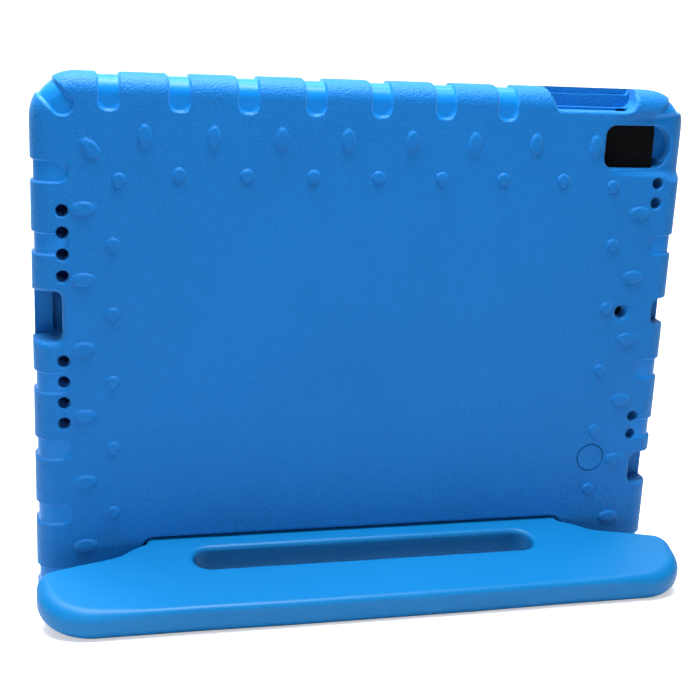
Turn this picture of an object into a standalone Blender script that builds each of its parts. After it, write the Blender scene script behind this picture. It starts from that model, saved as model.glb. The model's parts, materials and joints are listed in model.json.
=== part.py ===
"""Foam tablet case standing on its fold-out handle.

The case is built upright in its own frame: x runs along its width, y is the depth from the back
face towards the screen, z runs up the back, and z = 0 is the middle of the tablet. An empty then
leans the case over the handle and sets it down on the ground.
"""

import math

import bmesh
import bpy
from mathutils import Matrix

MM = 0.001
ROUND_GAP = 0.3 * MM

# Tablet that the case is made for, and the foam round it
TABLET_WIDTH = 250.6 * MM
TABLET_HEIGHT = 174.1 * MM
BAY_CLEARANCE = 0.3 * MM
BAY_DEPTH = 8.3 * MM
BAY_CORNER = 9.0 * MM
BACK_WALL = 6.5 * MM
CASE_DEPTH = 21.0 * MM
MOUTH_WIDTH = 230.0 * MM
MOUTH_HEIGHT = 155.0 * MM
MOUTH_FLARE = 3.0 * MM

# Outline of the case
HALF_WIDTH = 137.7 * MM
TOP = 96.0 * MM
BOTTOM = -95.2 * MM
TOP_CORNER = 18.0 * MM
RIM_ROUND = 8.0 * MM

# Handle and its hinge line
AXIS_DEPTH = CASE_DEPTH / 2
AXIS_HEIGHT = -101.4 * MM
HANDLE_DROP = math.radians(8.8)
HANDLE_THICKNESS = 13.0 * MM
HANDLE_ROUND = 5.0 * MM
TONGUE_HALF = 93.1 * MM
TONGUE_END = -5.8 * MM
HANDLE_HALF = 138.3 * MM
HANDLE_REACH = 60.6 * MM
HANDLE_CROWN = 1.6 * MM
WING_CORNER = 22.5 * MM
WING_INNER_CORNER = 8.0 * MM
WING_FLAT_END = 130.4 * MM
WING_FLAT_REACH = 25.4 * MM
SLOT_HALF = 75.0 * MM
SLOT_NEAR = 17.1 * MM
SLOT_FAR = 32.1 * MM
SLOT_ROUND = 2.0 * MM
COVE_RADIUS = 7.3 * MM

# Feet at the lower corners of the case
LUG_INNER = 94.6 * MM
LUG_CLEARANCE = 1.8 * MM
SWEEP_CLEARANCE = 1.2 * MM
LUG_CORNER = 11.0 * MM

# Hinge hardware
PIN_RADIUS = 2.7 * MM
PIN_FROM = 80.0 * MM
PIN_TO = 105.5 * MM
BUSH_RADIUS = 4.8 * MM
BUSH_LENGTH = 12.0 * MM
ANCHOR_RADIUS = 4.3 * MM
ANCHOR_LENGTH = 14.0 * MM
WASHER_RADIUS = 4.6 * MM

# Moulded pattern: bumps and grooves share one pitch along the top and one down the sides
PITCH = 27.0 * MM
SIDE_PITCH = 28.2 * MM
PATTERN_TOP = 58.3 * MM
GROOVE_WIDTH = 8.4 * MM
GROOVE_LENGTH = 14.0 * MM
GROOVE_DEPTH = 1.1 * MM
BUMP_RADIUS = 2.75 * MM
BUMP_HEIGHT = 0.8 * MM
OVAL_HALF = 4.85 * MM
DOT_ROW = 57.8 * MM
OVAL_ROW = 72.3 * MM
DOT_COLUMN = 106.6 * MM
OVAL_COLUMN = 117.9 * MM

# Holes in the back
SPEAKER_RADIUS = 2.4 * MM
SPEAKER_STEP = 8.65 * MM
SPEAKER_COLUMN = 126.0 * MM
SPEAKER_PAIR_COLUMN = 125.3 * MM
SPEAKER_PAIR = (48.5 * MM, 57.0 * MM)
SPEAKER_PAIR_DEPTH = 13.0 * MM
SOUND_HOLE_PLACE = (114.3 * MM, 0.0)
SOUND_HOLE_RADIUS = 2.5 * MM
SOUND_HOLE_FLARE = 5.0 * MM
PLUG_RADIUS = 6.1 * MM
PLUG_SEAT_GAP = 0.5 * MM
PLUG_PLACE = (106.3 * MM, -67.7 * MM)
PLUG_DEPTH = 3.0 * MM

# Camera window, its pocket past the tablet's edge, and the finger dish round it
WINDOW_LEFT = 99.1 * MM
WINDOW_RIGHT = 131.0 * MM
WINDOW_LOW = 63.0 * MM
WINDOW_HIGH = 81.3 * MM
WINDOW_CORNER = 4.5 * MM
WINDOW_END_CORNER = 8.5 * MM
POCKET_FLOOR = 8.0 * MM
DISH_START = 101.5 * MM
DISH_SLOPE = 0.125
SCOOP_START = 132.5 * MM
SCOOP_SLOPE = 0.9
DISH_LOW = 60.4 * MM
DISH_HIGH = (83.4 * MM, 87.6 * MM)

# Cut-outs in the edges
CUT_DEPTH = 12.0 * MM
BEYOND = 145.0 * MM
VOLUME_LEFT = (66.4 * MM, 75.4 * MM)
VOLUME_RIGHT = 112.5 * MM
VOLUME_FLOOR = 86.6 * MM
VOLUME_CORNER = 5.0 * MM
VOLUME_SILL = 88.2 * MM
VOLUME_SILL_DEPTH = 5.5 * MM
VOLUME_DEPTH = 10.5 * MM
VOLUME_LEDGE = 93.3 * MM
VOLUME_LEDGE_DEPTH = 13.0 * MM
PORT_INNER = 126.2 * MM
PORT_LOW = -9.6 * MM
PORT_HIGH = 11.0 * MM
PORT_CORNER = 3.0 * MM
PORT_DEPTH = 16.5 * MM
MICROPHONE_INNER = 129.0 * MM
MICROPHONE_HALF = 6.0 * MM
MICROPHONE_CORNER = 3.0 * MM
HEADPHONE_INNER = 126.0 * MM
HEADPHONE_LOW = -81.0 * MM
HEADPHONE_HIGH = -66.0 * MM
HEADPHONE_CORNER = 3.5 * MM

# Card blank that fills the bay until the tablet goes in
CARD_THICKNESS = 0.8 * MM
CARD_MARGIN = 1.0 * MM


# ---------------------------------------------------------------- scene and small helpers


def clear_scene():
    for obj in list(bpy.data.objects):
        bpy.data.objects.remove(obj, do_unlink=True)


def collection(name):
    made = bpy.data.collections.new(name)
    bpy.context.scene.collection.children.link(made)
    return made


def material(name, colour, roughness):
    made = bpy.data.materials.new(name)
    made.use_nodes = True
    shader = made.node_tree.nodes["Principled BSDF"]
    shader.inputs["Base Color"].default_value = (*colour, 1.0)
    shader.inputs["Roughness"].default_value = roughness
    shader.inputs["Metallic"].default_value = 0.0
    return made


def arc(centre, radius, start, end, steps):
    """Points on an arc from one angle to the other, in degrees, both ends included."""
    points = []
    for i in range(steps + 1):
        angle = math.radians(start + (end - start) * i / steps)
        points.append((centre[0] + radius * math.cos(angle), centre[1] + radius * math.sin(angle)))
    return points


def rounded_rectangle(width, height, radius, steps=5):
    x = width / 2 - radius
    z = height / 2 - radius
    return (
        arc((x, z), radius, 0, 90, steps)
        + arc((-x, z), radius, 90, 180, steps)
        + arc((-x, -z), radius, 180, 270, steps)
        + arc((x, -z), radius, 270, 360, steps)
    )


def mirrored(half):
    """A closed outline from its right half, which runs from bottom to top."""
    return half + [(-x, z) for x, z in reversed(half)]


def mesh_object(name, mesh, group):
    made = bpy.data.objects.new(name, mesh)
    group.objects.link(made)
    return made


def plate(name, outline, group, near, far):
    """Solid plate: a filled 2D outline in the x-z plane, thick from depth near to depth far."""
    curve = bpy.data.curves.new(name, "CURVE")
    curve.dimensions = "2D"
    curve.fill_mode = "BOTH"
    curve.extrude = (far - near) / 2
    spline = curve.splines.new("POLY")
    spline.points.add(len(outline) - 1)
    for point, (x, z) in zip(spline.points, outline):
        point.co = (x, z, 0.0, 1.0)
    spline.use_cyclic_u = True
    drawn = bpy.data.objects.new(name + "_outline", curve)
    group.objects.link(drawn)
    bpy.context.view_layer.update()
    evaluated = drawn.evaluated_get(bpy.context.evaluated_depsgraph_get())
    mesh = bpy.data.meshes.new_from_object(evaluated)
    bpy.data.objects.remove(drawn, do_unlink=True)
    shape = bmesh.new()
    shape.from_mesh(mesh)
    bmesh.ops.remove_doubles(shape, verts=shape.verts, dist=0.00001)
    bmesh.ops.dissolve_limit(
        shape, angle_limit=math.radians(0.5), verts=shape.verts, edges=shape.edges
    )
    bmesh.ops.recalc_face_normals(shape, faces=shape.faces)
    shape.to_mesh(mesh)
    shape.free()
    middle = (near + far) / 2
    mesh.transform(Matrix.Translation((0.0, middle, 0.0)) @ Matrix.Rotation(math.pi / 2, 4, "X"))
    mesh.name = name
    return mesh_object(name, mesh, group)


def cylinder_mesh(name, radius, start, end, axis, segments=16, end_radius=None):
    """Closed cylinder or cone along x or y, from start to end on that axis."""
    shape = bmesh.new()
    bmesh.ops.create_cone(
        shape,
        cap_ends=True,
        segments=segments,
        radius1=radius,
        radius2=radius if end_radius is None else end_radius,
        depth=end - start,
    )
    turn = Matrix.Rotation(math.pi / 2, 4, "Y") if axis == "x" else Matrix.Rotation(-math.pi / 2, 4, "X")
    offset = ((start + end) / 2, 0.0, 0.0) if axis == "x" else (0.0, (start + end) / 2, 0.0)
    bmesh.ops.transform(shape, matrix=Matrix.Translation(offset) @ turn, verts=shape.verts)
    mesh = bpy.data.meshes.new(name)
    shape.to_mesh(mesh)
    shape.free()
    return mesh


def joined(name, objects, group):
    """One helper object made of several that don't meet."""
    shape = bmesh.new()
    for obj in objects:
        copy = obj.data.copy()
        copy.transform(obj.matrix_basis)
        shape.from_mesh(copy)
        bpy.data.meshes.remove(copy)
        bpy.data.objects.remove(obj, do_unlink=True)
    mesh = bpy.data.meshes.new(name)
    shape.to_mesh(mesh)
    shape.free()
    return mesh_object(name, mesh, group)


def boolean(target, tool, operation="DIFFERENCE"):
    step = target.modifiers.new(tool.name, "BOOLEAN")
    step.operation = operation
    step.object = tool
    step.solver = "EXACT"


def settled(obj):
    """The object with its modifiers applied, so that a later one starts from a plain mesh."""
    bpy.context.view_layer.update()
    evaluated = obj.evaluated_get(bpy.context.evaluated_depsgraph_get())
    mesh = bpy.data.meshes.new_from_object(evaluated)
    obj.modifiers.clear()
    obj.data = mesh


def rim_bevel(obj, width, segments):
    """Rounds the edges that ring the two flat faces."""
    weights = obj.data.attributes.new("bevel_weight_edge", "FLOAT", "EDGE")
    for edge in obj.data.edges:
        a, b = (obj.data.vertices[i].co for i in edge.vertices)
        weights.data[edge.index].value = float(abs(a.y - b.y) < 1e-6)
    bevel = obj.modifiers.new("rim", "BEVEL")
    bevel.limit_method = "WEIGHT"
    bevel.width = width
    bevel.segments = segments
    bevel.use_clamp_overlap = False


# ---------------------------------------------------------------- outlines


def wing_edge(clearance):
    """Inner edge of a handle wing as (x, distance from the hinge line), moved in by clearance."""
    knots = [(94.6, 12.0), (97.2, 12.6), (100.8, 15.0), (104.2, 18.2), (108.4, 20.0)]
    points = [(x * MM, reach * MM - clearance) for x, reach in knots]
    points.append((WING_FLAT_END, WING_FLAT_REACH - clearance))
    return points


def case_outline(inset):
    """Outline of the case before the tongue's notch is cut, drawn smaller by inset all round."""
    shoulder_x, shoulder_reach = wing_edge(LUG_CLEARANCE)[-2]
    lowest = AXIS_HEIGHT - WING_FLAT_REACH + LUG_CLEARANCE
    shoulder = (shoulder_x, AXIS_HEIGHT - shoulder_reach + inset)
    foot = arc((HALF_WIDTH - LUG_CORNER, lowest + LUG_CORNER), LUG_CORNER - inset, 270, 360, 6)
    top = arc((HALF_WIDTH - TOP_CORNER, TOP - TOP_CORNER), TOP_CORNER - inset, 0, 90, 6)
    return mirrored([shoulder] + foot + top)


def notch_outline():
    """Gap between the lugs for the handle's tongue, opening out below along the wings."""
    fillet = 2.5 * MM
    upper = arc((LUG_INNER - fillet, BOTTOM - fillet), fillet, 0, 90, 3)
    knots = [(x, AXIS_HEIGHT - reach) for x, reach in wing_edge(LUG_CLEARANCE)[:-1]]
    knots[0] = (LUG_INNER, knots[0][1] + 2.4 * MM)
    below = (knots[-1][0], AXIS_HEIGHT - 40 * MM)
    return mirrored([below] + list(reversed(knots)) + upper)


def handle_outline():
    """Outline of the handle in its own plane: x, and distance out from the hinge line."""
    tongue = [(TONGUE_HALF, TONGUE_END), (TONGUE_HALF, 10.4 * MM)]
    corner_middle = (HANDLE_HALF - WING_INNER_CORNER, WING_FLAT_REACH + WING_INNER_CORNER + 0.3 * MM)
    end = arc(corner_middle, WING_INNER_CORNER, 280, 360, 5)
    outer_reach = HANDLE_REACH - HANDLE_CROWN
    outer = arc((HANDLE_HALF - WING_CORNER, outer_reach - WING_CORNER), WING_CORNER, 0, 84, 8)
    crown = []
    for share in (0.75, 0.5, 0.25):
        x = (HANDLE_HALF - WING_CORNER) * share
        crown.append((x, HANDLE_REACH - HANDLE_CROWN * share**2))
    return mirrored(tongue + wing_edge(0.0)[:-1] + end + outer + crown)


def capsule(width, length, steps=6):
    """Groove outline along +z: open end at z = 0, round end at z = -length."""
    radius = width / 2
    beyond = 12 * MM
    return [(radius, beyond), (-radius, beyond)] + arc((0.0, radius - length), radius, 180, 360, steps)


# ---------------------------------------------------------------- pattern of the shell


def groove_places():
    """(x, z, angle) of each groove's open end on the case's edge. Angle 0 faces up."""
    places = [((k - 4) * PITCH, TOP, 0.0) for k in range(7)]
    for row in (0, 1, 3, 4, 5, 6):
        places.append((-HALF_WIDTH, PATTERN_TOP - SIDE_PITCH * row, 90.0))
    for row in (1, 3, 4, 6):
        places.append((HALF_WIDTH, PATTERN_TOP - SIDE_PITCH * row, -90.0))
    corner = TOP_CORNER * (1 - math.sqrt(0.5))
    places.append((-HALF_WIDTH + corner, TOP - corner, 45.0))
    places.append((HALF_WIDTH - corner, TOP - corner, -45.0))
    return places


def dot_places():
    row = [((k - 4) * PITCH, DOT_ROW) for k in range(1, 8)]
    corner = [(side * 104.2 * MM, 55.5 * MM) for side in (-1, 1)]
    columns = [
        (side * DOT_COLUMN, PATTERN_TOP - SIDE_PITCH * m) for side in (-1, 1) for m in range(1, 6)
    ]
    return row + corner + columns


def oval_places():
    """(x, z, angle) of each oval bump. Angle 0 is an upright oval."""
    row = [((k - 3.5) * PITCH, OVAL_ROW, 0.0) for k in range(8)]
    columns = [
        (side * OVAL_COLUMN, PATTERN_TOP - SIDE_PITCH * (j + 0.5), 90.0)
        for side in (-1, 1)
        for j in range(6)
    ]
    return row + columns + [(-114.9 * MM, 67.3 * MM, 45.0)]


def bump(name, place, angle, half_length, group):
    """Low round or oval dome whose foot is sunk in the back wall."""
    sunk = 1.0 * MM
    mesh = cylinder_mesh(name, BUMP_RADIUS, -BUMP_HEIGHT * 0.45, sunk, "y", 12)
    shape = bmesh.new()
    shape.from_mesh(mesh)
    front = [f for f in shape.faces if f.normal.y < -0.9]
    bmesh.ops.inset_region(shape, faces=front, thickness=BUMP_RADIUS * 0.35)
    for vertex in {v for f in front for v in f.verts}:
        vertex.co.y = -BUMP_HEIGHT
    shape.to_mesh(mesh)
    shape.free()
    stretch = Matrix.Diagonal((1.0, 1.0, half_length / BUMP_RADIUS, 1.0))
    turn = Matrix.Rotation(math.radians(angle), 4, "Y")
    mesh.transform(Matrix.Translation((place[0], 0.0, place[1])) @ turn @ stretch)
    return mesh_object(name, mesh, group)


def all_bumps(group):
    made = []
    for i, place in enumerate(dot_places()):
        made.append(bump(f"dot_{i}", place, 0.0, BUMP_RADIUS, group))
    for i, (x, z, angle) in enumerate(oval_places()):
        made.append(bump(f"oval_{i}", (x, z), angle, OVAL_HALF, group))
    return joined("bumps", made, group)


def all_grooves(group):
    made = []
    for i, (x, z, angle) in enumerate(groove_places()):
        outline = capsule(GROOVE_WIDTH, GROOVE_LENGTH)
        cut = plate(f"groove_{i}", outline, group, -5 * MM, CASE_DEPTH + 5 * MM)
        cut.location = (x, 0.0, z)
        cut.rotation_euler = (0.0, -math.radians(angle), 0.0)
        bpy.context.view_layer.update()
        made.append(cut)
    return joined("grooves", made, group)


# ---------------------------------------------------------------- cut-outs of the shell


def window_cutters(group):
    """Camera window with its pocket, and the sloping dish that leads a finger into it."""
    left = WINDOW_LEFT + WINDOW_CORNER
    right = WINDOW_RIGHT - WINDOW_END_CORNER
    window = arc((left, WINDOW_HIGH - WINDOW_CORNER), WINDOW_CORNER, 90, 180, 3)
    window += arc((left, WINDOW_LOW + WINDOW_CORNER), WINDOW_CORNER, 180, 270, 3)
    window += arc((right, WINDOW_LOW + WINDOW_END_CORNER), WINDOW_END_CORNER, 270, 360, 5)
    window += arc((right, WINDOW_HIGH - WINDOW_END_CORNER), WINDOW_END_CORNER, 0, 90, 5)
    return [plate("camera_window", window, group, -1 * MM, POCKET_FLOOR)] + dish_cutters(group)


def dish_cutters(group):
    """Two wedges that deepen towards the side of the case, the outer one steeper."""
    edge = (SCOOP_START - DISH_START) * DISH_SLOPE
    end = edge + (BEYOND - SCOOP_START) * SCOOP_SLOPE
    wedges = (
        ((DISH_START, 0.0), (BEYOND, (BEYOND - DISH_START) * DISH_SLOPE)),
        ((SCOOP_START, edge), (BEYOND, end)),
    )
    rise = (DISH_HIGH[1] - DISH_HIGH[0]) / (BEYOND - DISH_START)
    made = []
    for i, wedge in enumerate(wedges):
        shape = bmesh.new()
        for x, floor in wedge:
            high = DISH_HIGH[0] + (x - DISH_START) * rise
            for depth, height in ((-1 * MM, DISH_LOW), (floor, DISH_LOW), (floor, high), (-1 * MM, high)):
                shape.verts.new((x, depth, height))
        bmesh.ops.convex_hull(shape, input=shape.verts)
        bmesh.ops.dissolve_limit(
            shape, angle_limit=math.radians(1), verts=shape.verts, edges=shape.edges
        )
        bmesh.ops.recalc_face_normals(shape, faces=shape.faces)
        mesh = bpy.data.meshes.new("finger_dish")
        shape.to_mesh(mesh)
        shape.free()
        made.append(mesh_object(f"finger_dish_{i}", mesh, group))
    return made


def side_cut(inner, low, high, corner, side):
    """Outline of a cut-out that opens through one side of the case, its inner corners round."""
    half = [(BEYOND, high)]
    half += arc((inner + corner, high - corner), corner, 90, 180, 3)
    half += arc((inner + corner, low + corner), corner, 180, 270, 3)
    half.append((BEYOND, low))
    return [(side * x, z) for x, z in half]


def edge_cutters(group):
    """Cut-outs for the ports and keys along the case's edges."""
    over = TOP + 4 * MM
    corner = (VOLUME_RIGHT - VOLUME_CORNER, VOLUME_FLOOR + VOLUME_CORNER)
    volume = [(VOLUME_LEFT[0], over), (VOLUME_LEFT[1], VOLUME_FLOOR)]
    volume += arc(corner, VOLUME_CORNER, 270, 360, 4)
    volume.append((VOLUME_RIGHT, over))
    share = (over - VOLUME_LEDGE) / (over - VOLUME_FLOOR)
    ledge_left = VOLUME_LEFT[0] + (VOLUME_LEFT[1] - VOLUME_LEFT[0]) * share
    sill_left = VOLUME_LEFT[1] - 1 * MM
    sill = [(VOLUME_LEFT[0], over), (sill_left, VOLUME_SILL)]
    sill += [(VOLUME_RIGHT, VOLUME_SILL), (VOLUME_RIGHT, over)]
    ledge = [(VOLUME_LEFT[0], over), (ledge_left, VOLUME_LEDGE)]
    ledge += [(VOLUME_RIGHT, VOLUME_LEDGE), (VOLUME_RIGHT, over)]
    port = side_cut(PORT_INNER, PORT_LOW, PORT_HIGH, PORT_CORNER, -1)
    microphone = side_cut(
        MICROPHONE_INNER, -MICROPHONE_HALF, MICROPHONE_HALF, MICROPHONE_CORNER, 1
    )
    headphones = side_cut(HEADPHONE_INNER, HEADPHONE_LOW, HEADPHONE_HIGH, HEADPHONE_CORNER, 1)
    outlines = (
        ("volume", volume, -1 * MM, VOLUME_SILL_DEPTH),
        ("volume_sill", sill, VOLUME_SILL_DEPTH - 1 * MM, VOLUME_DEPTH),
        ("volume_ledge", ledge, VOLUME_DEPTH - 1 * MM, VOLUME_LEDGE_DEPTH),
        ("port", port, -1 * MM, PORT_DEPTH),
        ("microphone", microphone, -1 * MM, CUT_DEPTH),
        ("headphones", headphones, -1 * MM, CUT_DEPTH),
    )
    return [plate(name + "_cut", outline, group, near, far) for name, outline, near, far in outlines]


def hole_cutters(group):
    """Speaker holes, the flared rear microphone hole and the seat of the moulding plug."""
    through = BACK_WALL + 1 * MM
    heights = [(2 + i) * SPEAKER_STEP for i in range(4)]
    places = [(-SPEAKER_COLUMN, side * z, through) for side in (-1, 1) for z in heights]
    for side in (-1, 1):
        places += [(SPEAKER_PAIR_COLUMN, side * z, SPEAKER_PAIR_DEPTH) for z in SPEAKER_PAIR]
    made = []
    for i, (x, z, depth) in enumerate(places):
        mesh = cylinder_mesh(f"speaker_{i}", SPEAKER_RADIUS, -1 * MM, depth, "y", 12)
        made.append(placed(mesh_object(f"speaker_{i}", mesh, group), x, z))
    flare = cylinder_mesh(
        "mic_flare", SOUND_HOLE_FLARE, -1 * MM, 3 * MM, "y", 16, end_radius=SOUND_HOLE_RADIUS + 0.1 * MM
    )
    bore = cylinder_mesh("mic_bore", SOUND_HOLE_RADIUS, 1 * MM, through, "y", 16)
    for name, mesh in (("mic_flare", flare), ("mic_bore", bore)):
        made.append(placed(mesh_object(name, mesh, group), *SOUND_HOLE_PLACE))
    seat = cylinder_mesh("plug_seat", PLUG_RADIUS + PLUG_SEAT_GAP, -1 * MM, PLUG_DEPTH, "y", 24)
    made.append(placed(mesh_object("plug_seat", seat, group), *PLUG_PLACE))
    return made


def placed(obj, x, z):
    """The object moved to a place on the back."""
    obj.location = (x, 0.0, z)
    return obj


def mouth_cutter(group):
    """Front opening, wider at the screen side than at the tablet's glass."""
    outline = rounded_rectangle(MOUTH_WIDTH, MOUTH_HEIGHT, 6 * MM, 4)
    start = BACK_WALL + BAY_DEPTH - 1 * MM
    mouth = plate("mouth", outline, group, start, CASE_DEPTH + 1 * MM)
    for vertex in mouth.data.vertices:
        if vertex.co.y > CASE_DEPTH:
            vertex.co.x *= 1 + 2 * MOUTH_FLARE / MOUTH_WIDTH
            vertex.co.z *= 1 + 2 * MOUTH_FLARE / MOUTH_HEIGHT
    return mouth


def knuckle_mesh(side):
    """Round knuckle that each foot keeps about the hinge line: the wing's edge turned about it."""
    knots = [(x, reach - SWEEP_CLEARANCE) for x, reach in wing_edge(0.0)]
    inner, outer = LUG_INNER - 1.6 * MM, BEYOND
    profile = [(inner, 0.0), (inner, knots[0][1])] + knots
    profile += [(outer, knots[-1][1] + 2 * MM), (outer, 0.0)]
    shape = bmesh.new()
    points = [shape.verts.new((side * x, 0.0, reach)) for x, reach in profile]
    edges = [shape.edges.new(pair) for pair in zip(points, points[1:])]
    bmesh.ops.spin(
        shape,
        geom=points + edges,
        cent=(0.0, 0.0, 0.0),
        axis=(1.0, 0.0, 0.0),
        angle=2 * math.pi,
        steps=32,
        use_merge=True,
    )
    bmesh.ops.remove_doubles(shape, verts=shape.verts, dist=0.00001)
    bmesh.ops.recalc_face_normals(shape, faces=shape.faces)
    mesh = bpy.data.meshes.new("knuckle")
    shape.to_mesh(mesh)
    shape.free()
    return mesh


def block_mesh(size, middle):
    shape = bmesh.new()
    bmesh.ops.create_cube(shape, size=1.0)
    bmesh.ops.scale(shape, vec=size, verts=shape.verts)
    bmesh.ops.translate(shape, vec=middle, verts=shape.verts)
    mesh = bpy.data.meshes.new("block")
    shape.to_mesh(mesh)
    shape.free()
    return mesh


def sweep_cutter(group):
    """Foam taken off each lug so that the handle's wings can swing past it."""
    size = (50 * MM, 60 * MM, 50 * MM)
    below = -size[2] / 2 - 0.4 * MM
    made = []
    for side in (-1, 1):
        knuckle = mesh_object(f"knuckle_{side}", knuckle_mesh(side), group)
        middle = (side * (LUG_INNER + size[0] / 2 - 0.6 * MM), 0.0, below)
        cutter = mesh_object(f"sweep_{side}", block_mesh(size, middle), group)
        boolean(cutter, knuckle)
        settled(cutter)
        bpy.data.objects.remove(knuckle, do_unlink=True)
        cutter.location = (0.0, AXIS_DEPTH, AXIS_HEIGHT)
        made.append(cutter)
    return joined("sweep", made, group)


def hinge_cutter(group):
    """Cove over the tongue, and the sockets in the lugs."""
    cove = mesh_object(
        "cove",
        cylinder_mesh("cove", COVE_RADIUS, -LUG_INNER, LUG_INNER, "x", 24),
        group,
    )
    made = [cove]
    for side in (-1, 1):
        ends = on_side(side, LUG_INNER - 1.5 * MM, LUG_INNER + BUSH_LENGTH + 0.6 * MM)
        mesh = cylinder_mesh("socket", BUSH_RADIUS + ROUND_GAP, *ends, "x", 24)
        made.append(mesh_object(f"socket_{side}", mesh, group))
    for cutter in made:
        cutter.location = (0.0, AXIS_DEPTH, AXIS_HEIGHT)
    return made


# ---------------------------------------------------------------- pieces


def build_shell(frame, parts, tools, foam):
    groove_floor = case_outline(GROOVE_DEPTH)
    inner = plate("inner", groove_floor, tools, GROOVE_DEPTH, CASE_DEPTH - GROOVE_DEPTH)
    rim_bevel(inner, RIM_ROUND - GROOVE_DEPTH, 4)
    shell = plate("shell", case_outline(0.0), parts, 0.0, CASE_DEPTH)
    rim_bevel(shell, RIM_ROUND, 4)
    settled(inner)
    settled(shell)
    boolean(shell, all_grooves(tools))
    boolean(shell, inner, "UNION")
    boolean(shell, all_bumps(tools), "UNION")
    bay_width = TABLET_WIDTH + 2 * BAY_CLEARANCE
    bay_height = TABLET_HEIGHT + 2 * BAY_CLEARANCE
    bay_outline = rounded_rectangle(bay_width, bay_height, BAY_CORNER)
    bay = plate("bay", bay_outline, tools, BACK_WALL, BACK_WALL + BAY_DEPTH)
    notch = plate("notch", notch_outline(), tools, -5 * MM, CASE_DEPTH + 5 * MM)
    cutters = [bay, mouth_cutter(tools), notch, sweep_cutter(tools)]
    cutters += window_cutters(tools) + edge_cutters(tools)
    cutters += hole_cutters(tools) + hinge_cutter(tools)
    for cutter in cutters:
        boolean(shell, cutter)
    shell.data.materials.append(foam)
    shell.parent = frame
    return shell


def build_handle(hinge, parts, tools, foam):
    half = HANDLE_THICKNESS / 2
    handle = plate("handle", [(x, -reach) for x, reach in handle_outline()], parts, -half, half)
    rim_bevel(handle, HANDLE_ROUND, 4)
    settled(handle)
    middle = (SLOT_NEAR + SLOT_FAR) / 2
    radius = (SLOT_FAR - SLOT_NEAR) / 2
    slot = rounded_rectangle(2 * SLOT_HALF, 2 * radius, radius - 0.01 * MM, 6)
    opening = plate("slot", slot, tools, -half - 1 * MM, half + 1 * MM)
    rim = plate("slot_rim", slot, tools, half - SLOT_ROUND, half + SLOT_ROUND)
    for vertex in rim.data.vertices:
        if vertex.co.y > half:
            vertex.co.x *= 1 + 2 * SLOT_ROUND / SLOT_HALF
            vertex.co.z *= 1 + 2 * SLOT_ROUND / radius
    lower = mesh_object("slot_rim_lower", rim.data.copy(), tools)
    lower.data.transform(Matrix.Rotation(math.pi, 4, "Z"))
    cutters = [opening, rim, lower]
    for cutter in cutters:
        cutter.data.transform(Matrix.Translation((0.0, 0.0, -middle)))
        boolean(handle, cutter)
    for side in (-1, 1):
        ends = on_side(side, TONGUE_HALF - ANCHOR_LENGTH - 0.6 * MM, TONGUE_HALF + 1 * MM)
        mesh = cylinder_mesh("pocket", ANCHOR_RADIUS + ROUND_GAP, *ends, "x", 6)
        pocket = mesh_object(f"anchor_pocket_{side}", mesh, tools)
        boolean(handle, pocket)
    handle.data.materials.append(foam)
    for piece in [handle] + cutters:
        piece.data.transform(Matrix.Rotation(-math.pi / 2, 4, "X"))
    handle.parent = hinge
    return handle


def on_side(side, first, last):
    """Two distances from the middle as places along x, in rising order."""
    return sorted((side * first, side * last))


def ring(name, outer, inner, ends, parts, tools, segments=24):
    """Tube along x: a cylinder with a bore through it."""
    body = mesh_object(name, cylinder_mesh(name, outer, *ends, "x", segments), parts)
    over = 1 * MM
    bore = mesh_object(
        name + "_bore",
        cylinder_mesh(name + "_bore", inner, ends[0] - over, ends[1] + over, "x", 20),
        tools,
    )
    boolean(body, bore)
    settled(body)
    bpy.data.objects.remove(bore, do_unlink=True)
    return body


def build_hinge_hardware(hinge, socket, parts, tools, plastic, rubber):
    """Pin, anchor, bush and washer at each end of the tongue."""
    for side, word in ((-1, "left"), (1, "right")):
        mesh = cylinder_mesh("pivot_pin", PIN_RADIUS, *on_side(side, PIN_FROM, PIN_TO), "x", 20)
        pin = mesh_object(f"pivot_pin_{word}", mesh, parts)
        inside = TONGUE_HALF - ROUND_GAP
        anchor = ring(
            f"pin_anchor_{word}",
            ANCHOR_RADIUS,
            PIN_RADIUS + ROUND_GAP,
            on_side(side, inside - ANCHOR_LENGTH, inside),
            parts,
            tools,
            6,
        )
        start = LUG_INNER + ROUND_GAP
        bush = ring(
            f"socket_bush_{word}",
            BUSH_RADIUS,
            PIN_RADIUS + ROUND_GAP,
            on_side(side, start, start + BUSH_LENGTH - ROUND_GAP),
            parts,
            tools,
        )
        washer = ring(
            f"friction_washer_{word}",
            WASHER_RADIUS,
            PIN_RADIUS + ROUND_GAP,
            on_side(side, TONGUE_HALF + ROUND_GAP, LUG_INNER - ROUND_GAP),
            parts,
            tools,
        )
        for piece, finish, parent in (
            (pin, plastic, hinge),
            (anchor, plastic, hinge),
            (bush, plastic, socket),
            (washer, rubber, hinge),
        ):
            piece.data.materials.append(finish)
            piece.parent = parent
            piece.data.shade_smooth()
            piece.data.set_sharp_from_angle(angle=math.radians(40))


def build_plug(frame, parts, foam):
    """Round plug pressed in over the moulding gate, flush with the back."""
    mesh = cylinder_mesh("gate_plug", PLUG_RADIUS, 0.1 * MM, PLUG_DEPTH - ROUND_GAP, "y", 24)
    plug = placed(mesh_object("gate_plug", mesh, parts), *PLUG_PLACE)
    plug.data.materials.append(foam)
    plug.parent = frame
    return plug


def build_card(frame, parts, paper):
    """Black card blank lying against the inside of the back wall."""
    outline = rounded_rectangle(TABLET_WIDTH - 2 * CARD_MARGIN, TABLET_HEIGHT - 2 * CARD_MARGIN, 8 * MM)
    near = BACK_WALL + ROUND_GAP
    card = plate("insert_card", outline, parts, near, near + CARD_THICKNESS)
    card.data.materials.append(paper)
    card.parent = frame
    return card


# ---------------------------------------------------------------- stance


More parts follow.
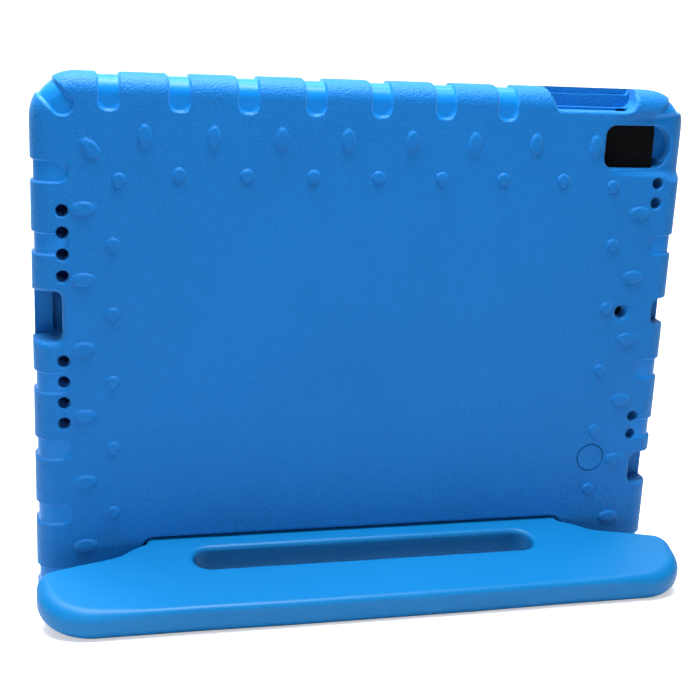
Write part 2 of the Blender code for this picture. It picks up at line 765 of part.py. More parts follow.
def stance():
    """Lean of the case, and where its frame goes so that it stands on the ground, centred in depth.

    The case rests on the rounded lower back edge of the lugs and on the rounded lower front edge
    of the handle. The ground is the common tangent below those two roundings.
    """
    foot_height = AXIS_HEIGHT - WING_FLAT_REACH + LUG_CLEARANCE + RIM_ROUND
    foot = (RIM_ROUND, foot_height)
    reach = HANDLE_REACH - HANDLE_ROUND
    sine, cosine = math.sin(HANDLE_DROP), math.cos(HANDLE_DROP)
    drop = HANDLE_THICKNESS / 2 - HANDLE_ROUND
    edges = [
        (AXIS_DEPTH - reach * cosine - rise * sine, AXIS_HEIGHT - reach * sine + rise * cosine)
        for rise in (-drop, drop)
    ]
    across, up = foot[0] - edges[0][0], foot[1] - edges[0][1]
    lean = math.asin((RIM_ROUND - HANDLE_ROUND) / math.hypot(across, up)) - math.atan2(up, across)
    sine, cosine = math.sin(lean), math.cos(lean)
    raised = RIM_ROUND - (foot[0] * sine + foot[1] * cosine)
    nearest = min(depth * cosine - height * sine for depth, height in edges) - HANDLE_ROUND
    farthest = (CASE_DEPTH - RIM_ROUND) * cosine - foot_height * sine + RIM_ROUND
    return lean, (0.0, -(nearest + farthest) / 2, raised)


def main():
    clear_scene()
    parts = collection("tablet_case")
    tools = collection("cutters")
    blue = material("shell_foam", (0.02, 0.20, 0.66), 0.45)
    smooth_blue = material("handle_foam", (0.02, 0.25, 0.80), 0.38)
    plastic = material("hinge_plastic", (0.03, 0.12, 0.45), 0.4)
    rubber = material("washer_rubber", (0.02, 0.02, 0.02), 0.7)
    paper = material("blank_card", (0.01, 0.01, 0.012), 0.8)

    lean, place = stance()
    frame = bpy.data.objects.new("case_frame", None)
    parts.objects.link(frame)
    frame.rotation_euler = (lean, 0.0, 0.0)
    frame.location = place
    hinge = bpy.data.objects.new("handle_hinge", None)
    parts.objects.link(hinge)
    hinge.parent = frame
    hinge.location = (0.0, AXIS_DEPTH, AXIS_HEIGHT)
    hinge.rotation_euler = (HANDLE_DROP, 0.0, 0.0)
    socket = bpy.data.objects.new("socket_line", None)
    parts.objects.link(socket)
    socket.parent = frame
    socket.location = (0.0, AXIS_DEPTH, AXIS_HEIGHT)

    build_shell(frame, parts, tools, blue)
    build_handle(hinge, parts, tools, smooth_blue)
    build_hinge_hardware(hinge, socket, parts, tools, plastic, rubber)
    build_plug(frame, parts, blue)
    build_card(frame, parts, paper)

    for cutter in tools.objects:
        if cutter.parent is None:
            belongs_to_handle = cutter.name.startswith(("slot", "anchor_pocket"))
            cutter.parent = hinge if belongs_to_handle else frame
        cutter.hide_render = True
        cutter.display_type = "WIRE"
    bpy.context.view_layer.update()


main()
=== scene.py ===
"""Looks of the foam tablet case that stands on its fold-out handle.

Shapes are worked out in millimetres in the case's own frame: x runs across the case, d is the
depth from its back face towards the screen, v runs up the back, and v = 0 is the middle of the
tablet. The handle has its own frame on the hinge line: x across, reach outwards, rise upwards.
"""

import json
import math

import bmesh
import bpy
import numpy as np
from mathutils import Matrix, Vector


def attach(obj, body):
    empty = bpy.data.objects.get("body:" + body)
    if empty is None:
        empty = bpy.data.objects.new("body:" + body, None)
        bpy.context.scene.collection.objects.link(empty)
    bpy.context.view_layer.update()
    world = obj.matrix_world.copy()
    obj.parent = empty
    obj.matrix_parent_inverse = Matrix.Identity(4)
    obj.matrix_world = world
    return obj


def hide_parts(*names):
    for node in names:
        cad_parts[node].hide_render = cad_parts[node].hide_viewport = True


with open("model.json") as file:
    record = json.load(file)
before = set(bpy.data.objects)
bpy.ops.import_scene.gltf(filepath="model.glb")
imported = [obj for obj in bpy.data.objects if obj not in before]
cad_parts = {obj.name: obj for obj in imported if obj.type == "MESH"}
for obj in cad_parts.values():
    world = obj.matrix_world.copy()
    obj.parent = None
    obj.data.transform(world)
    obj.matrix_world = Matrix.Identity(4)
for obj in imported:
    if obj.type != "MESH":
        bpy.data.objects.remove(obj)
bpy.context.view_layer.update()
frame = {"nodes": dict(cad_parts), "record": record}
MM = 0.001

# Stance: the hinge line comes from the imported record, the lean from the way the case stands
HINGE = np.array(frame["record"]["behaviour"]["joints"][0]["pos_m"])
LEAN = math.radians(9.409)
HANDLE_DROP = math.radians(8.8)
AXIS_DEPTH = 10.5
AXIS_HEIGHT = -101.4

# Outline of the case
HALF_WIDTH = 137.7
TOP = 96.0
BOTTOM = -95.2
TOP_CORNER = 18.0
FOOT_CORNER = 11.0
FOOT_LOWEST = -125.0
SHOULDER = (108.4, -119.6)
CASE_DEPTH = 21.0
RIM_ROUND = 8.0
LEAST_CORNER = 1.5
PANEL_INSET = 16.4

# Bay for the tablet, and the mouth in the screen side
BACK_WALL = 6.5
BAY_FRONT = 14.8
BAY = (125.6, 87.35, 9.0)
MOUTH = (115.0, 77.5, 6.0)
MOUTH_FLARE = 3.0
LIP_ROUND = 1.5
LIP_TURNS = [0, 22, 45, 67, 82]
MOUTH_SLOPE = [(1.2, 17.6), (0.4, 15.6), (0.6, 15.0), (1.0, BAY_FRONT)]
BAY_WALL = [(0.6, BAY_FRONT), (0.0, BAY_FRONT - 0.6), (0.0, BACK_WALL + 1.0), (1.0, BACK_WALL)]
MOUTH_ROWS = 1 + len(LIP_TURNS) + len(MOUTH_SLOPE) + len(BAY_WALL)

# Moulded pattern: grooves over the edge, dots and ovals on the back
PITCH = 27.0
SIDE_PITCH = 28.2
PATTERN_TOP = 58.3
GROOVE_WIDTH = 8.4
GROOVE_LENGTH = 14.0
SCREEN_GROOVE_LENGTH = 12.6
GROOVE_DEPTH = 1.1
GROOVE_WALL = 0.5
BUMP_RADIUS = 2.75
BUMP_HEIGHT = 0.95
OVAL_HALF = 4.85
DOT_ROW = 57.8
OVAL_ROW = 72.3
DOT_COLUMN = 106.6
OVAL_COLUMN = 117.9
CORNER_DOT = (104.2, 55.5)
CORNER_OVAL = (-114.9, 67.3)
BUMP_SIDES = 40
BUMP_RADII = [0.35, 0.62, 0.72, 0.8, 0.87, 0.93, 0.99, 1.06, 1.18]
BUMP_HEIGHTS = [1.0, 0.99, 0.94, 0.82, 0.64, 0.44, 0.22, 0.07, -0.06]

# Openings
ABOVE = -3.0
ABOVE_TOP = 104.0
ASIDE = 145.0
OUTLINE_STEP = 0.5
CUT_DEPTH = 12.0
WINDOW = (99.1, 131.0, 63.0, 81.3)
WINDOW_CORNER = 4.5
WINDOW_END_CORNER = 8.8
POCKET_FLOOR = 9.5
POCKET_PIT = (126.6, 65.2)
POCKET_PIT_RADIUS = 1.9
PIT_DEPTH = 12.5
VOLUME_LOW = 87.1
VOLUME_SILL = 88.2
VOLUME_LEDGE = 93.3
VOLUME_FRONT_DEPTH = 6.0
VOLUME_DEPTH = 10.5
VOLUME_LEDGE_DEPTH = 13.0
VOLUME_PIT = (107.0, 87.3)
VOLUME_PIT_HALF = (2.8, 0.7)
PORT_INNER = 126.2
PORT = (-9.6, 11.0)
PORT_DEPTH = 16.5
PORT_BORE = (-129.6, -122.0, -8.6, 10.0)
PORT_BORE_START = 7.2
MICROPHONE_INNER = 129.0
MICROPHONE_HALF = 6.0
HEADPHONE_INNER = 126.0
HEADPHONE = (-81.0, -66.0)
SPEAKER_RADIUS = 2.4
SPEAKER_STEP = 8.65
SPEAKER_COLUMN = -126.0
SPEAKER_PAIR_COLUMN = 125.3
SPEAKER_PAIR = (48.5, 57.0)
SPEAKER_DEPTH = 13.0
SOUND_HOLE = (114.3, 0.0)
SOUND_HOLE_RADIUS = 2.5
SOUND_HOLE_FLARE = 2.4
PLUG_RADIUS = 6.1
PLUG_PLACE = (106.3, -67.7)
PLUG_SEAT_GAP = 0.35
PLUG_SEAT_DEPTH = 3.0
PLUG_PROFILE = [(0.05, 0.28), (2.0, 0.26), (4.2, 0.2), (5.2, 0.14), (5.6, 0.12)]
PLUG_PROFILE += [(5.9, 0.2), (6.05, 0.36), (6.1, 0.6), (6.1, 2.4), (5.8, 2.7)]

# Finger dish by the camera window
DISH_START = 101.5
DISH_SLOPE = 0.125
SCOOP_START = 131.0
SCOOP_CURVE = 0.09
DISH_WIDENS = 127.0
DISH_LOW = (59.6, 62.6)
DISH_HIGH = (82.6, 86.8)
DISH_HIGH_START = 104.0
DISH_HIGH_SLOPE = 0.09

# Hinge and handle
LUG_INNER = 94.6
LUG_CLEARANCE = 1.8
SWEEP_CLEARANCE = 1.2
COVE_RADIUS = 7.3
SOCKET_RADIUS = 5.1
SOCKET_DEPTH = 12.6
AXLE = 0.001
NOTCH_LOWEST = -145.0
NOTCH_RADII = [0.0, 5.0, 6.0, 5.0, 2.0, 2.0, 5.0]
SWEEP_MIDDLE = 119.0
SWEEP_HALF = 25.0
SWEEP_REACH = 30.0
WING_EDGE = [(94.6, 12.0), (97.2, 12.6), (100.8, 15.0), (104.2, 18.2), (108.4, 20.0), (130.4, 25.4)]
HANDLE_HALF_THICK = 6.5
TONGUE_HALF = 93.1
TONGUE_END = -5.8
TONGUE_ROOT = 10.4
HANDLE_HALF = 138.3
HANDLE_REACH = 60.6
HANDLE_CROWN = 1.6
WING_CORNER = 22.5
SLOT_HALF = 75.0
SLOT_NEAR = 17.1
SLOT_FAR = 32.1
SLOT_ROUND = 2.2

# Colours
SHELL_BLUE = (0.0012, 0.134, 0.432)
HANDLE_BLUE = (0.0015, 0.158, 0.42)
NYLON_BLUE = (0.03, 0.12, 0.45)
CARD_BLACK = (0.0025, 0.0025, 0.003)
RUBBER_BLACK = (0.02, 0.02, 0.02)
WHITE = (1.0, 1.0, 1.0)

# Camera: its place and its axes in the case's frame
LENS = 64.7
EYE_PLACE = (-138.1, -493.9, 123.1)
EYE_RIGHT = (0.9694, -0.2412, 0.0467)
EYE_UP = (0.0193, 0.2640, 0.9643)


# ---------------------------------------------------------------- placing and meshes


def in_case(points):
    """Points of the case's frame in metres: leaned back about the hinge line, then set on it."""
    x, d, v = np.moveaxis(np.asarray(points, float) * MM, -1, 0)
    d = d - AXIS_DEPTH * MM
    v = v - AXIS_HEIGHT * MM
    c, s = math.cos(LEAN), math.sin(LEAN)
    return np.stack([x + HINGE[0], d * c - v * s + HINGE[1], d * s + v * c + HINGE[2]], -1)


def in_handle(points):
    """Points of the handle's frame in metres: reach runs out and down by the lean and the drop."""
    x, reach, rise = np.moveaxis(np.asarray(points, float) * MM, -1, 0)
    c, s = math.cos(LEAN + HANDLE_DROP), math.sin(LEAN + HANDLE_DROP)
    y = -reach * c - rise * s
    z = -reach * s + rise * c
    return np.stack([x + HINGE[0], y + HINGE[1], z + HINGE[2]], -1)


def mesh_of(name, points, faces):
    """A mesh from an array of points in metres and a list of faces."""
    mesh = bpy.data.meshes.new(name)
    mesh.from_pydata(np.asarray(points).tolist(), [], faces)
    mesh.validate()
    mesh.update()
    return mesh


def piece(name, mesh):
    """An object at the origin that holds the mesh."""
    made = bpy.data.objects.new(name, mesh)
    bpy.context.scene.collection.objects.link(made)
    return made


def band_faces(rows, columns):
    """Quads between neighbouring rows of a grid whose columns close on themselves."""
    k, n = np.meshgrid(np.arange(rows - 1), np.arange(columns), indexing="ij")
    right = (n + 1) % columns
    here, after = k * columns, (k + 1) * columns
    quads = np.stack([here + n, after + n, after + right, here + right], -1)
    return quads.reshape(-1, 4).tolist()


def grid_quads(rows, columns):
    """Point numbers of an open grid, and its quads."""
    index = np.arange(rows * columns).reshape(rows, columns)
    quads = np.stack([index[:-1, :-1], index[1:, :-1], index[1:, 1:], index[:-1, 1:]], -1)
    return index, quads.reshape(-1, 4)


def capped(rings):
    """Closed solid through rings of equal length: quads between them and one face on each end."""
    rings = np.asarray(rings)
    rows, columns = rings.shape[:2]
    faces = band_faces(rows, columns)
    faces.append(list(range(columns)))
    last = (rows - 1) * columns
    faces.append([last + i for i in reversed(range(columns))])
    return rings.reshape(-1, 3), faces


def faced_out(mesh):
    """Turns a closed mesh's faces outwards."""
    shape = bmesh.new()
    shape.from_mesh(mesh)
    bmesh.ops.recalc_face_normals(shape, faces=shape.faces)
    if shape.calc_volume(signed=True) < 0:
        bmesh.ops.reverse_faces(shape, faces=shape.faces)
    shape.to_mesh(mesh)
    shape.free()
    return mesh


# ---------------------------------------------------------------- outlines in a plane


def arc(centre, radius, start, end, steps):
    """Points at even angles, in degrees, round a centre."""
    angle = np.radians(np.linspace(start, end, steps + 1))
    return np.stack([centre[0] + radius * np.cos(angle), centre[1] + radius * np.sin(angle)], -1)


def softened(corners, radii, step):
    """Closed outline: each corner becomes an arc of its radius, and straights are cut to steps."""
    corners = np.asarray(corners, float)
    radii = np.broadcast_to(np.asarray(radii, float), len(corners))
    outline = []
    for i, (corner, radius) in enumerate(zip(corners, radii)):
        back = corners[i - 1] - corner
        on = corners[(i + 1) % len(corners)] - corner
        back, on = back / np.hypot(*back), on / np.hypot(*on)
        half = math.acos(np.clip(back @ on, -1, 1)) / 2
        if radius < 1e-6 or half > math.radians(89.5):
            outline.append(corner[None])
            continue
        reach = radius / math.tan(half)
        middle = back + on
        centre = corner + middle / np.hypot(*middle) * radius / math.sin(half)
        a, b = corner + back * reach - centre, corner + on * reach - centre
        turn = math.pi - 2 * half
        steps = max(3, int(radius * turn / step))
        way = np.sign(a[0] * b[1] - a[1] * b[0])
        angle = math.atan2(a[1], a[0]) + way * turn * np.linspace(0, 1, steps + 1)
        outline.append(centre + radius * np.stack([np.cos(angle), np.sin(angle)], -1))
    outline = np.concatenate(outline)
    filled = []
    for a, b in zip(outline, np.roll(outline, -1, 0)):
        count = max(1, int(np.hypot(*(b - a)) / (step * 4)))
        filled.append(a + (b - a) * np.linspace(0, 1, count, endpoint=False)[:, None])
    return np.concatenate(filled)


def normals_of(outline):
    """Outward unit normals of a closed outline that runs anticlockwise, with the mitre's length."""
    edge = np.roll(outline, -1, 0) - outline
    edge = edge / np.hypot(edge[:, 0], edge[:, 1])[:, None]
    side = np.stack([edge[:, 1], -edge[:, 0]], -1)
    both = side + np.roll(side, 1, 0)
    both = both / np.hypot(both[:, 0], both[:, 1])[:, None]
    mitre = 1 / np.clip((both * side).sum(-1), 0.5, 1)
    return both, mitre


def grown(outline, by):
    """The outline moved outwards by a distance, or one distance for each point."""
    normal, mitre = normals_of(outline)
    return outline + normal * (np.asarray(by) * mitre)[..., None]


# ---------------------------------------------------------------- surface of the shell


def rim_depth(x, v):
    """Depth of the rounded rim: a quarter circle over the last part before the case's edge."""
    x = np.abs(x)
    inset = np.minimum(HALF_WIDTH - x, TOP - v)
    corner = TOP_CORNER - np.hypot(x - HALF_WIDTH + TOP_CORNER, v - TOP + TOP_CORNER)
    in_corner = (x > HALF_WIDTH - TOP_CORNER) & (v > TOP - TOP_CORNER)
    inset = np.where(in_corner, corner, inset)
    short = RIM_ROUND - np.clip(inset, 0, RIM_ROUND)
    return RIM_ROUND - np.sqrt(RIM_ROUND**2 - short**2)


def smooth_step(value, low, high):
    """0 below low, 1 above high, and the cubic 3t2 - 2t3 between."""
    t = np.clip((value - low) / (high - low), 0, 1)
    return t * t * (3 - 2 * t)


def finger_dish(x, v):
    """Scoop by the camera window: its floor slopes down to the case's side between two soft walls.

    The floor is a straight slope in x, with a parabola added near the side. The walls are soft
    steps in v, and they spread apart near the side.
    """
    floor = np.clip(x - DISH_START, 0, None) * DISH_SLOPE
    floor += np.clip(x - SCOOP_START, 0, None) ** 2 * SCOOP_CURVE
    spread = np.clip(x - DISH_WIDENS, 0, None) * 0.6
    rise = (x - DISH_HIGH_START) * DISH_HIGH_SLOPE
    lower = smooth_step(v, DISH_LOW[0] - spread, DISH_LOW[1])
    upper = 1 - smooth_step(v, DISH_HIGH[0] + rise, DISH_HIGH[1] + rise + spread * 0.6)
    return floor * lower * upper


def groove_places():
    """(x, v, angle) of each groove's open end on the case's edge. Angle 0 faces up."""
    places = [((k - 4) * PITCH, TOP, 0.0) for k in range(7)]
    for row in (0, 1, 3, 4, 5, 6):
        places.append((-HALF_WIDTH, PATTERN_TOP - SIDE_PITCH * row, 90.0))
    for row in (1, 3, 4, 6):
        places.append((HALF_WIDTH, PATTERN_TOP - SIDE_PITCH * row, -90.0))
    corner = TOP_CORNER * (1 - math.sqrt(0.5))
    places.append((-HALF_WIDTH + corner, TOP - corner, 45.0))
    places.append((HALF_WIDTH - corner, TOP - corner, -45.0))
    return places


def groove_share(x, v, depth):
    """1 on a groove's floor and 0 outside it, from the distance to a round-ended strip.

    The strips are a little shorter on the screen side, where the mouth's lip lies nearer.
    """
    length = np.where(depth > CASE_DEPTH / 2, SCREEN_GROOVE_LENGTH, GROOVE_LENGTH)
    share = np.zeros_like(x)
    for end_x, end_v, angle in groove_places():
        turn = math.radians(angle)
        across = (x - end_x) * math.cos(turn) + (v - end_v) * math.sin(turn)
        inward = (x - end_x) * math.sin(turn) - (v - end_v) * math.cos(turn)
        beyond = np.clip(inward - (length - GROOVE_WIDTH / 2), 0, None)
        distance = np.hypot(across, beyond) - GROOVE_WIDTH / 2
        share = np.maximum(share, 1 - smooth_step(distance, -GROOVE_WALL, GROOVE_WALL))
    return share


def stations(low, high, centres):
    """Places along an edge: close together over groove walls, 3 mm apart elsewhere."""
    near = np.array([0, 1.4, 2.6, 3.5, 3.75, 4.0, 4.25, 4.5, 4.75, 5.1])
    offsets = np.concatenate([-near[:0:-1], near])
    places = np.concatenate([[low, high]] + [centre + offsets for centre in centres])
    places = np.unique(places[(places >= low) & (places <= high)].round(4))
    filled = []
    for a, b in zip(places[:-1], places[1:]):
        filled.append(np.linspace(a, b, max(1, math.ceil((b - a) / 3.0)), endpoint=False))
    return np.concatenate(filled + [[high]])


SIDE_LOW = FOOT_LOWEST + FOOT_CORNER
SIDE_HIGH = TOP - TOP_CORNER
TOP_END = HALF_WIDTH - TOP_CORNER
SIDE_PLACES = stations(SIDE_LOW, SIDE_HIGH, [PATTERN_TOP - SIDE_PITCH * m for m in range(7)])
TOP_PLACES = stations(-TOP_END, TOP_END, [(k - 4) * PITCH for k in range(7)])
CORNER_ANGLES = np.radians(np.linspace(0, 90, 49))[1:-1]
FOOT_ANGLES = np.radians(np.linspace(-90, 0, 19))[1:-1]
SLOPE_SHARES = np.linspace(0, 1, 7)[1:]
BASE_SHARES = np.linspace(-1, 1, 61)


def ring(right, low, high, foot, crown, shoulder, held):
    """One closed ring of the shell and its outward normals, anticlockwise from the left shoulder.

    Straight edges join arcs of radius foot and crown. When held is true the places along the
    sides stay at the same height in every ring, so that they line up with the grooves.
    """
    side_low = low + foot
    if held:
        drawn_in = np.clip(1 - (SIDE_PLACES - SIDE_LOW) / 14.0, 0, 1)
        side_v = SIDE_PLACES + (side_low - SIDE_LOW) * drawn_in
    else:
        share = (SIDE_PLACES - SIDE_LOW) / (SIDE_HIGH - SIDE_LOW)
        side_v = side_low + share * (high - crown - side_low)
    top_x = TOP_PLACES / TOP_END * (right - crown)
    base = np.stack([BASE_SHARES * shoulder[0], np.full(len(BASE_SHARES), shoulder[1])], -1)
    foot_start = np.array([right - foot, low])
    slope = np.array(shoulder) + (foot_start - shoulder) * SLOPE_SHARES[:, None]
    slope_way = foot_start - shoulder
    slope_normal = np.array([slope_way[1], -slope_way[0]]) / np.hypot(*slope_way)
    foot_way = np.stack([np.cos(FOOT_ANGLES), np.sin(FOOT_ANGLES)], -1)
    foot_arc = np.array([right - foot, side_low]) + foot * foot_way
    side = np.stack([np.full(len(side_v), right), side_v], -1)
    crown_way = np.stack([np.cos(CORNER_ANGLES), np.sin(CORNER_ANGLES)], -1)
    crown_arc = np.array([right - crown, high - crown]) + crown * crown_way
    half = [slope, foot_arc, side, crown_arc]
    half_normals = [
        np.broadcast_to(slope_normal, slope.shape),
        foot_way,
        np.broadcast_to([1.0, 0.0], side.shape),
        crown_way,
    ]
    flip = np.array([-1.0, 1.0])
    top = np.stack([top_x, np.full(len(top_x), high)], -1)[::-1]
    points = [base] + half + [top] + [h[::-1] * flip for h in reversed(half)]
    normals = [np.broadcast_to([0.0, -1.0], base.shape)] + half_normals
    normals += [np.broadcast_to([0.0, 1.0], top.shape)]
    normals += [n[::-1] * flip for n in reversed(half_normals)]
    return np.concatenate(points)[:-1], np.concatenate(normals)[:-1]


def case_ring(inset):
    """Ring of the case's outline drawn in by inset, its corner radii shrinking with it."""
    return ring(
        HALF_WIDTH - inset,
        FOOT_LOWEST + inset,
        TOP - inset,
        max(FOOT_CORNER - inset, LEAST_CORNER),
        max(TOP_CORNER - inset, LEAST_CORNER),
        (SHOULDER[0], SHOULDER[1] + inset),
        True,
    )


def box_ring(half_width, half_height, radius):
    """Ring of a rounded rectangle with the same places as the case's outline."""
    shoulder = (half_width * 0.8, -half_height)
    return ring(half_width, -half_height, half_height, radius, radius, shoulder, False)


def shell_rows():
    """Rows of the shell's skin from the middle of its back, round the rim and into the bay.

    Each row is (ring, ring's normals, depth, tilt): tilt is 0 where the skin faces backwards, 90
    where it faces outwards and 180 where it faces the screen.
    """
    rows = []
    groove_insets = list(np.arange(14.9, 8.9, -0.45)) + [8.4]
    for inset in [PANEL_INSET] + groove_insets:
        rows.append((*case_ring(inset), 0.0, 0.0))
    for tilt in np.linspace(0, 90, 13):
        angle = math.radians(tilt)
        depth = RIM_ROUND * (1 - math.cos(angle))
        rows.append((*case_ring(RIM_ROUND * (1 - math.sin(angle))), depth, tilt))
    for tilt in np.linspace(90, 180, 13):
        angle = math.radians(tilt)
        depth = CASE_DEPTH - RIM_ROUND - RIM_ROUND * math.cos(angle)
        rows.append((*case_ring(RIM_ROUND * (1 - math.sin(angle))), depth, tilt))
    for inset in groove_insets[::-2][:6]:
        rows.append((*case_ring(inset), CASE_DEPTH, 180.0))
    lips = [(MOUTH_FLARE + LIP_ROUND + 0.25, CASE_DEPTH)]
    for turn in np.radians(LIP_TURNS):
        spread = MOUTH_FLARE + LIP_ROUND * (1 - math.sin(turn))
        lips.append((spread, CASE_DEPTH - LIP_ROUND * (1 - math.cos(turn))))
    for spread, depth in lips + MOUTH_SLOPE:
        mouth = box_ring(MOUTH[0] + spread, MOUTH[1] + spread, MOUTH[2] + spread)
        rows.append((*mouth, depth, 180.0))
    for drawn, depth in BAY_WALL:
        rows.append((*box_ring(BAY[0] - drawn, BAY[1] - drawn, BAY[2]), depth, 180.0))
    return rows


def shell_skin():
    """The whole closed skin of the shell: every row lifted off by the grooves along its normal."""
    rows = shell_rows()
    plan = np.array([row[0] for row in rows])
    sideways = np.array([row[1] for row in rows])
    depth = np.array([row[2] for row in rows])[:, None]
    tilt = np.radians([row[3] for row in rows])[:, None]
    outside = np.arange(len(rows))[:, None] < len(rows) - MOUTH_ROWS
    sunk = GROOVE_DEPTH * groove_share(plan[..., 0], plan[..., 1], depth) * outside
    out = np.sin(tilt)[..., None] * sideways
    x = plan[..., 0] - out[..., 0] * sunk
    v = plan[..., 1] - out[..., 1] * sunk
    d = depth + np.cos(tilt) * sunk
    return capped(np.stack([x, d, v], -1))


# ---------------------------------------------------------------- cutters of the shell


def through_cut(name, outline, fillet, start, end, dish=0.0):
    """Cutter along the depth, its mouth flared so that it leaves a rounded edge on the surface.

    At depth s below the surface the outline is grown by fillet - sqrt(fillet2 - (fillet - s)2).
    With dish at 1 the surface is the finger dish, and with 0 it is the case's own skin.
    """
    outline = np.asarray(outline)
    if fillet > 0:
        turn = np.radians(np.linspace(0, 90, 6))
        spreads, drops = fillet * (1 - np.sin(turn)), fillet * (1 - np.cos(turn)) + 0.01
    else:
        spreads, drops = np.zeros(1), np.zeros(1)
    edge = grown(outline, fillet)
    rim = rim_depth(edge[:, 0], edge[:, 1])
    surface = np.maximum(rim, dish * finger_dish(edge[:, 0], edge[:, 1]))
    rings = [np.insert(edge, 1, start, axis=1)]
    for spread, drop in zip(spreads, drops):
        rings.append(np.insert(grown(outline, spread), 1, surface + drop, axis=1))
    rings.append(np.insert(outline, 1, end, axis=1))
    return solid_piece(name, rings)


def turned_along_x(name, profile, segments=64):
    """Solid of revolution about the hinge line from a closed (x, radius) profile."""
    profile = np.asarray(profile)
    angle = np.linspace(0, 2 * math.pi, segments, endpoint=False)[:, None]
    x = np.broadcast_to(profile[:, 0], (segments, len(profile)))
    d = profile[:, 1] * np.cos(angle) + AXIS_DEPTH
    v = profile[:, 1] * np.sin(angle) + AXIS_HEIGHT
    return solid_piece(name, np.stack([x, d, v], -1).transpose(1, 0, 2))


def cut(target, tool, operation="DIFFERENCE"):
    """Takes the tool's shape off the target, or adds it, once the target is settled."""
    step = target.modifiers.new(tool.name, "BOOLEAN")
    step.operation = operation
    step.object = tool
    step.solver = "MANIFOLD"
    return tool


def settled(obj):
    """Applies the object's modifiers to its mesh."""
    bpy.context.view_layer.update()
    graph = bpy.context.evaluated_depsgraph_get()
    mesh = bpy.data.meshes.new_from_object(obj.evaluated_get(graph))
    obj.modifiers.clear()
    obj.data = mesh


def disc(centre, radius, steps=48):
    """Circle round a centre."""
    return arc(centre, radius, 0, 360, steps)[:-1]


def side_opening(side, inner, low, high, radius):
    """Outline of a cut-out that opens through one side of the case, its inner corners round."""
    if side > 0:
        corners, radii = boxed(inner, ASIDE, low, high), [radius, 0.0, 0.0, radius]
    else:
        corners, radii = boxed(-ASIDE, -inner, low, high), [0.0, radius, radius, 0.0]
    return softened(corners, radii, OUTLINE_STEP)


def top_opening(left, right, low, over_left, radii):
    """Outline of a cut-out that opens through the top edge, its left side slanted."""
    corners = [(left, low), (right, low), (right, ABOVE_TOP), (over_left, ABOVE_TOP)]
    return softened(corners, radii + [0.0, 0.0], OUTLINE_STEP)


def boxed(left, right, low, high):
    """Corners of a rectangle, anticlockwise."""
    return [(left, low), (right, low), (right, high), (left, high)]


def window_cutters():
    """Camera window with its round-ended pocket, and a small pit in the pocket's floor."""
    radii = [WINDOW_CORNER, WINDOW_END_CORNER, WINDOW_END_CORNER, WINDOW_CORNER]
    window = softened(boxed(*WINDOW), radii, OUTLINE_STEP)
    pit = disc(POCKET_PIT, POCKET_PIT_RADIUS)
    return [
        through_cut("window_cut", window, 1.0, ABOVE, POCKET_FLOOR, dish=1.0),
        through_cut("window_pit_cut", pit, 0.0, 4.0, PIT_DEPTH),
    ]


def volume_cutters():
    """Cut-out for the volume keys: a rounded front, a sill, a ledge above it and a small pit."""
    front = top_opening(76.6, 111.9, VOLUME_LOW, 67.1, [1.2, 5.0])
    sill = top_opening(75.6, 112.5, VOLUME_SILL, 67.0, [1.2, 4.0])
    ledge = top_opening(72.2, 112.3, VOLUME_LEDGE, 67.0, [0.8, 2.0])
    pit = oval(VOLUME_PIT, *VOLUME_PIT_HALF)
    return [
        through_cut("volume_cut", front, 1.7, ABOVE, VOLUME_FRONT_DEPTH),
        through_cut("volume_deep_cut", sill, 0.0, VOLUME_FRONT_DEPTH - 1.5, VOLUME_DEPTH),
        through_cut("volume_ledge_cut", ledge, 0.0, VOLUME_DEPTH - 1.0, VOLUME_LEDGE_DEPTH),
        through_cut("volume_pit_cut", pit, 0.0, 4.0, PIT_DEPTH),
    ]


def side_cutters():
    """Charging port with its way into the bay, edge microphone and headphone socket."""
    port = side_opening(-1, PORT_INNER, *PORT, 3.2)
    bore = softened(boxed(*PORT_BORE), 2.0, OUTLINE_STEP)
    microphone = side_opening(1, MICROPHONE_INNER, -MICROPHONE_HALF, MICROPHONE_HALF, 3.0)
    headphone = side_opening(1, HEADPHONE_INNER, *HEADPHONE, 3.5)
    return [
        through_cut("port_cut", port, 2.4, ABOVE, PORT_DEPTH),
        through_cut("port_bore_cut", bore, 0.0, PORT_BORE_START, PORT_DEPTH + 2.5),
        through_cut("microphone_cut", microphone, 0.7, ABOVE, CUT_DEPTH),
        through_cut("headphone_cut", headphone, 0.9, ABOVE, CUT_DEPTH),
    ]


def hole_cutters():
    """Speaker holes, the flared rear microphone hole and the seat of the moulding plug."""
    heights = [(2 + i) * SPEAKER_STEP for i in range(4)]
    holes = [(SPEAKER_COLUMN, side * v) for side in (-1, 1) for v in heights]
    holes += [(SPEAKER_PAIR_COLUMN, side * v) for side in (-1, 1) for v in SPEAKER_PAIR]
    made = []
    for i, place in enumerate(holes):
        hole = disc(place, SPEAKER_RADIUS)
        made.append(through_cut(f"speaker_cut_{i}", hole, 0.9, ABOVE, SPEAKER_DEPTH))
    sound = disc(SOUND_HOLE, SOUND_HOLE_RADIUS)
    made.append(through_cut("sound_cut", sound, SOUND_HOLE_FLARE, ABOVE, BACK_WALL + 2.0))
    seat = disc(PLUG_PLACE, PLUG_RADIUS + PLUG_SEAT_GAP)
    made.append(through_cut("plug_seat_cut", seat, PLUG_SEAT_GAP, ABOVE, PLUG_SEAT_DEPTH))
    return made


def opening_cutters():
    """Holes and cut-outs of the back and the edges."""
    return window_cutters() + volume_cutters() + side_cutters() + hole_cutters()


def oval(centre, half_width, half_height, steps=32):
    """Ellipse round a centre."""
    return np.asarray(centre) + disc((0.0, 0.0), 1.0, steps) * [half_width, half_height]


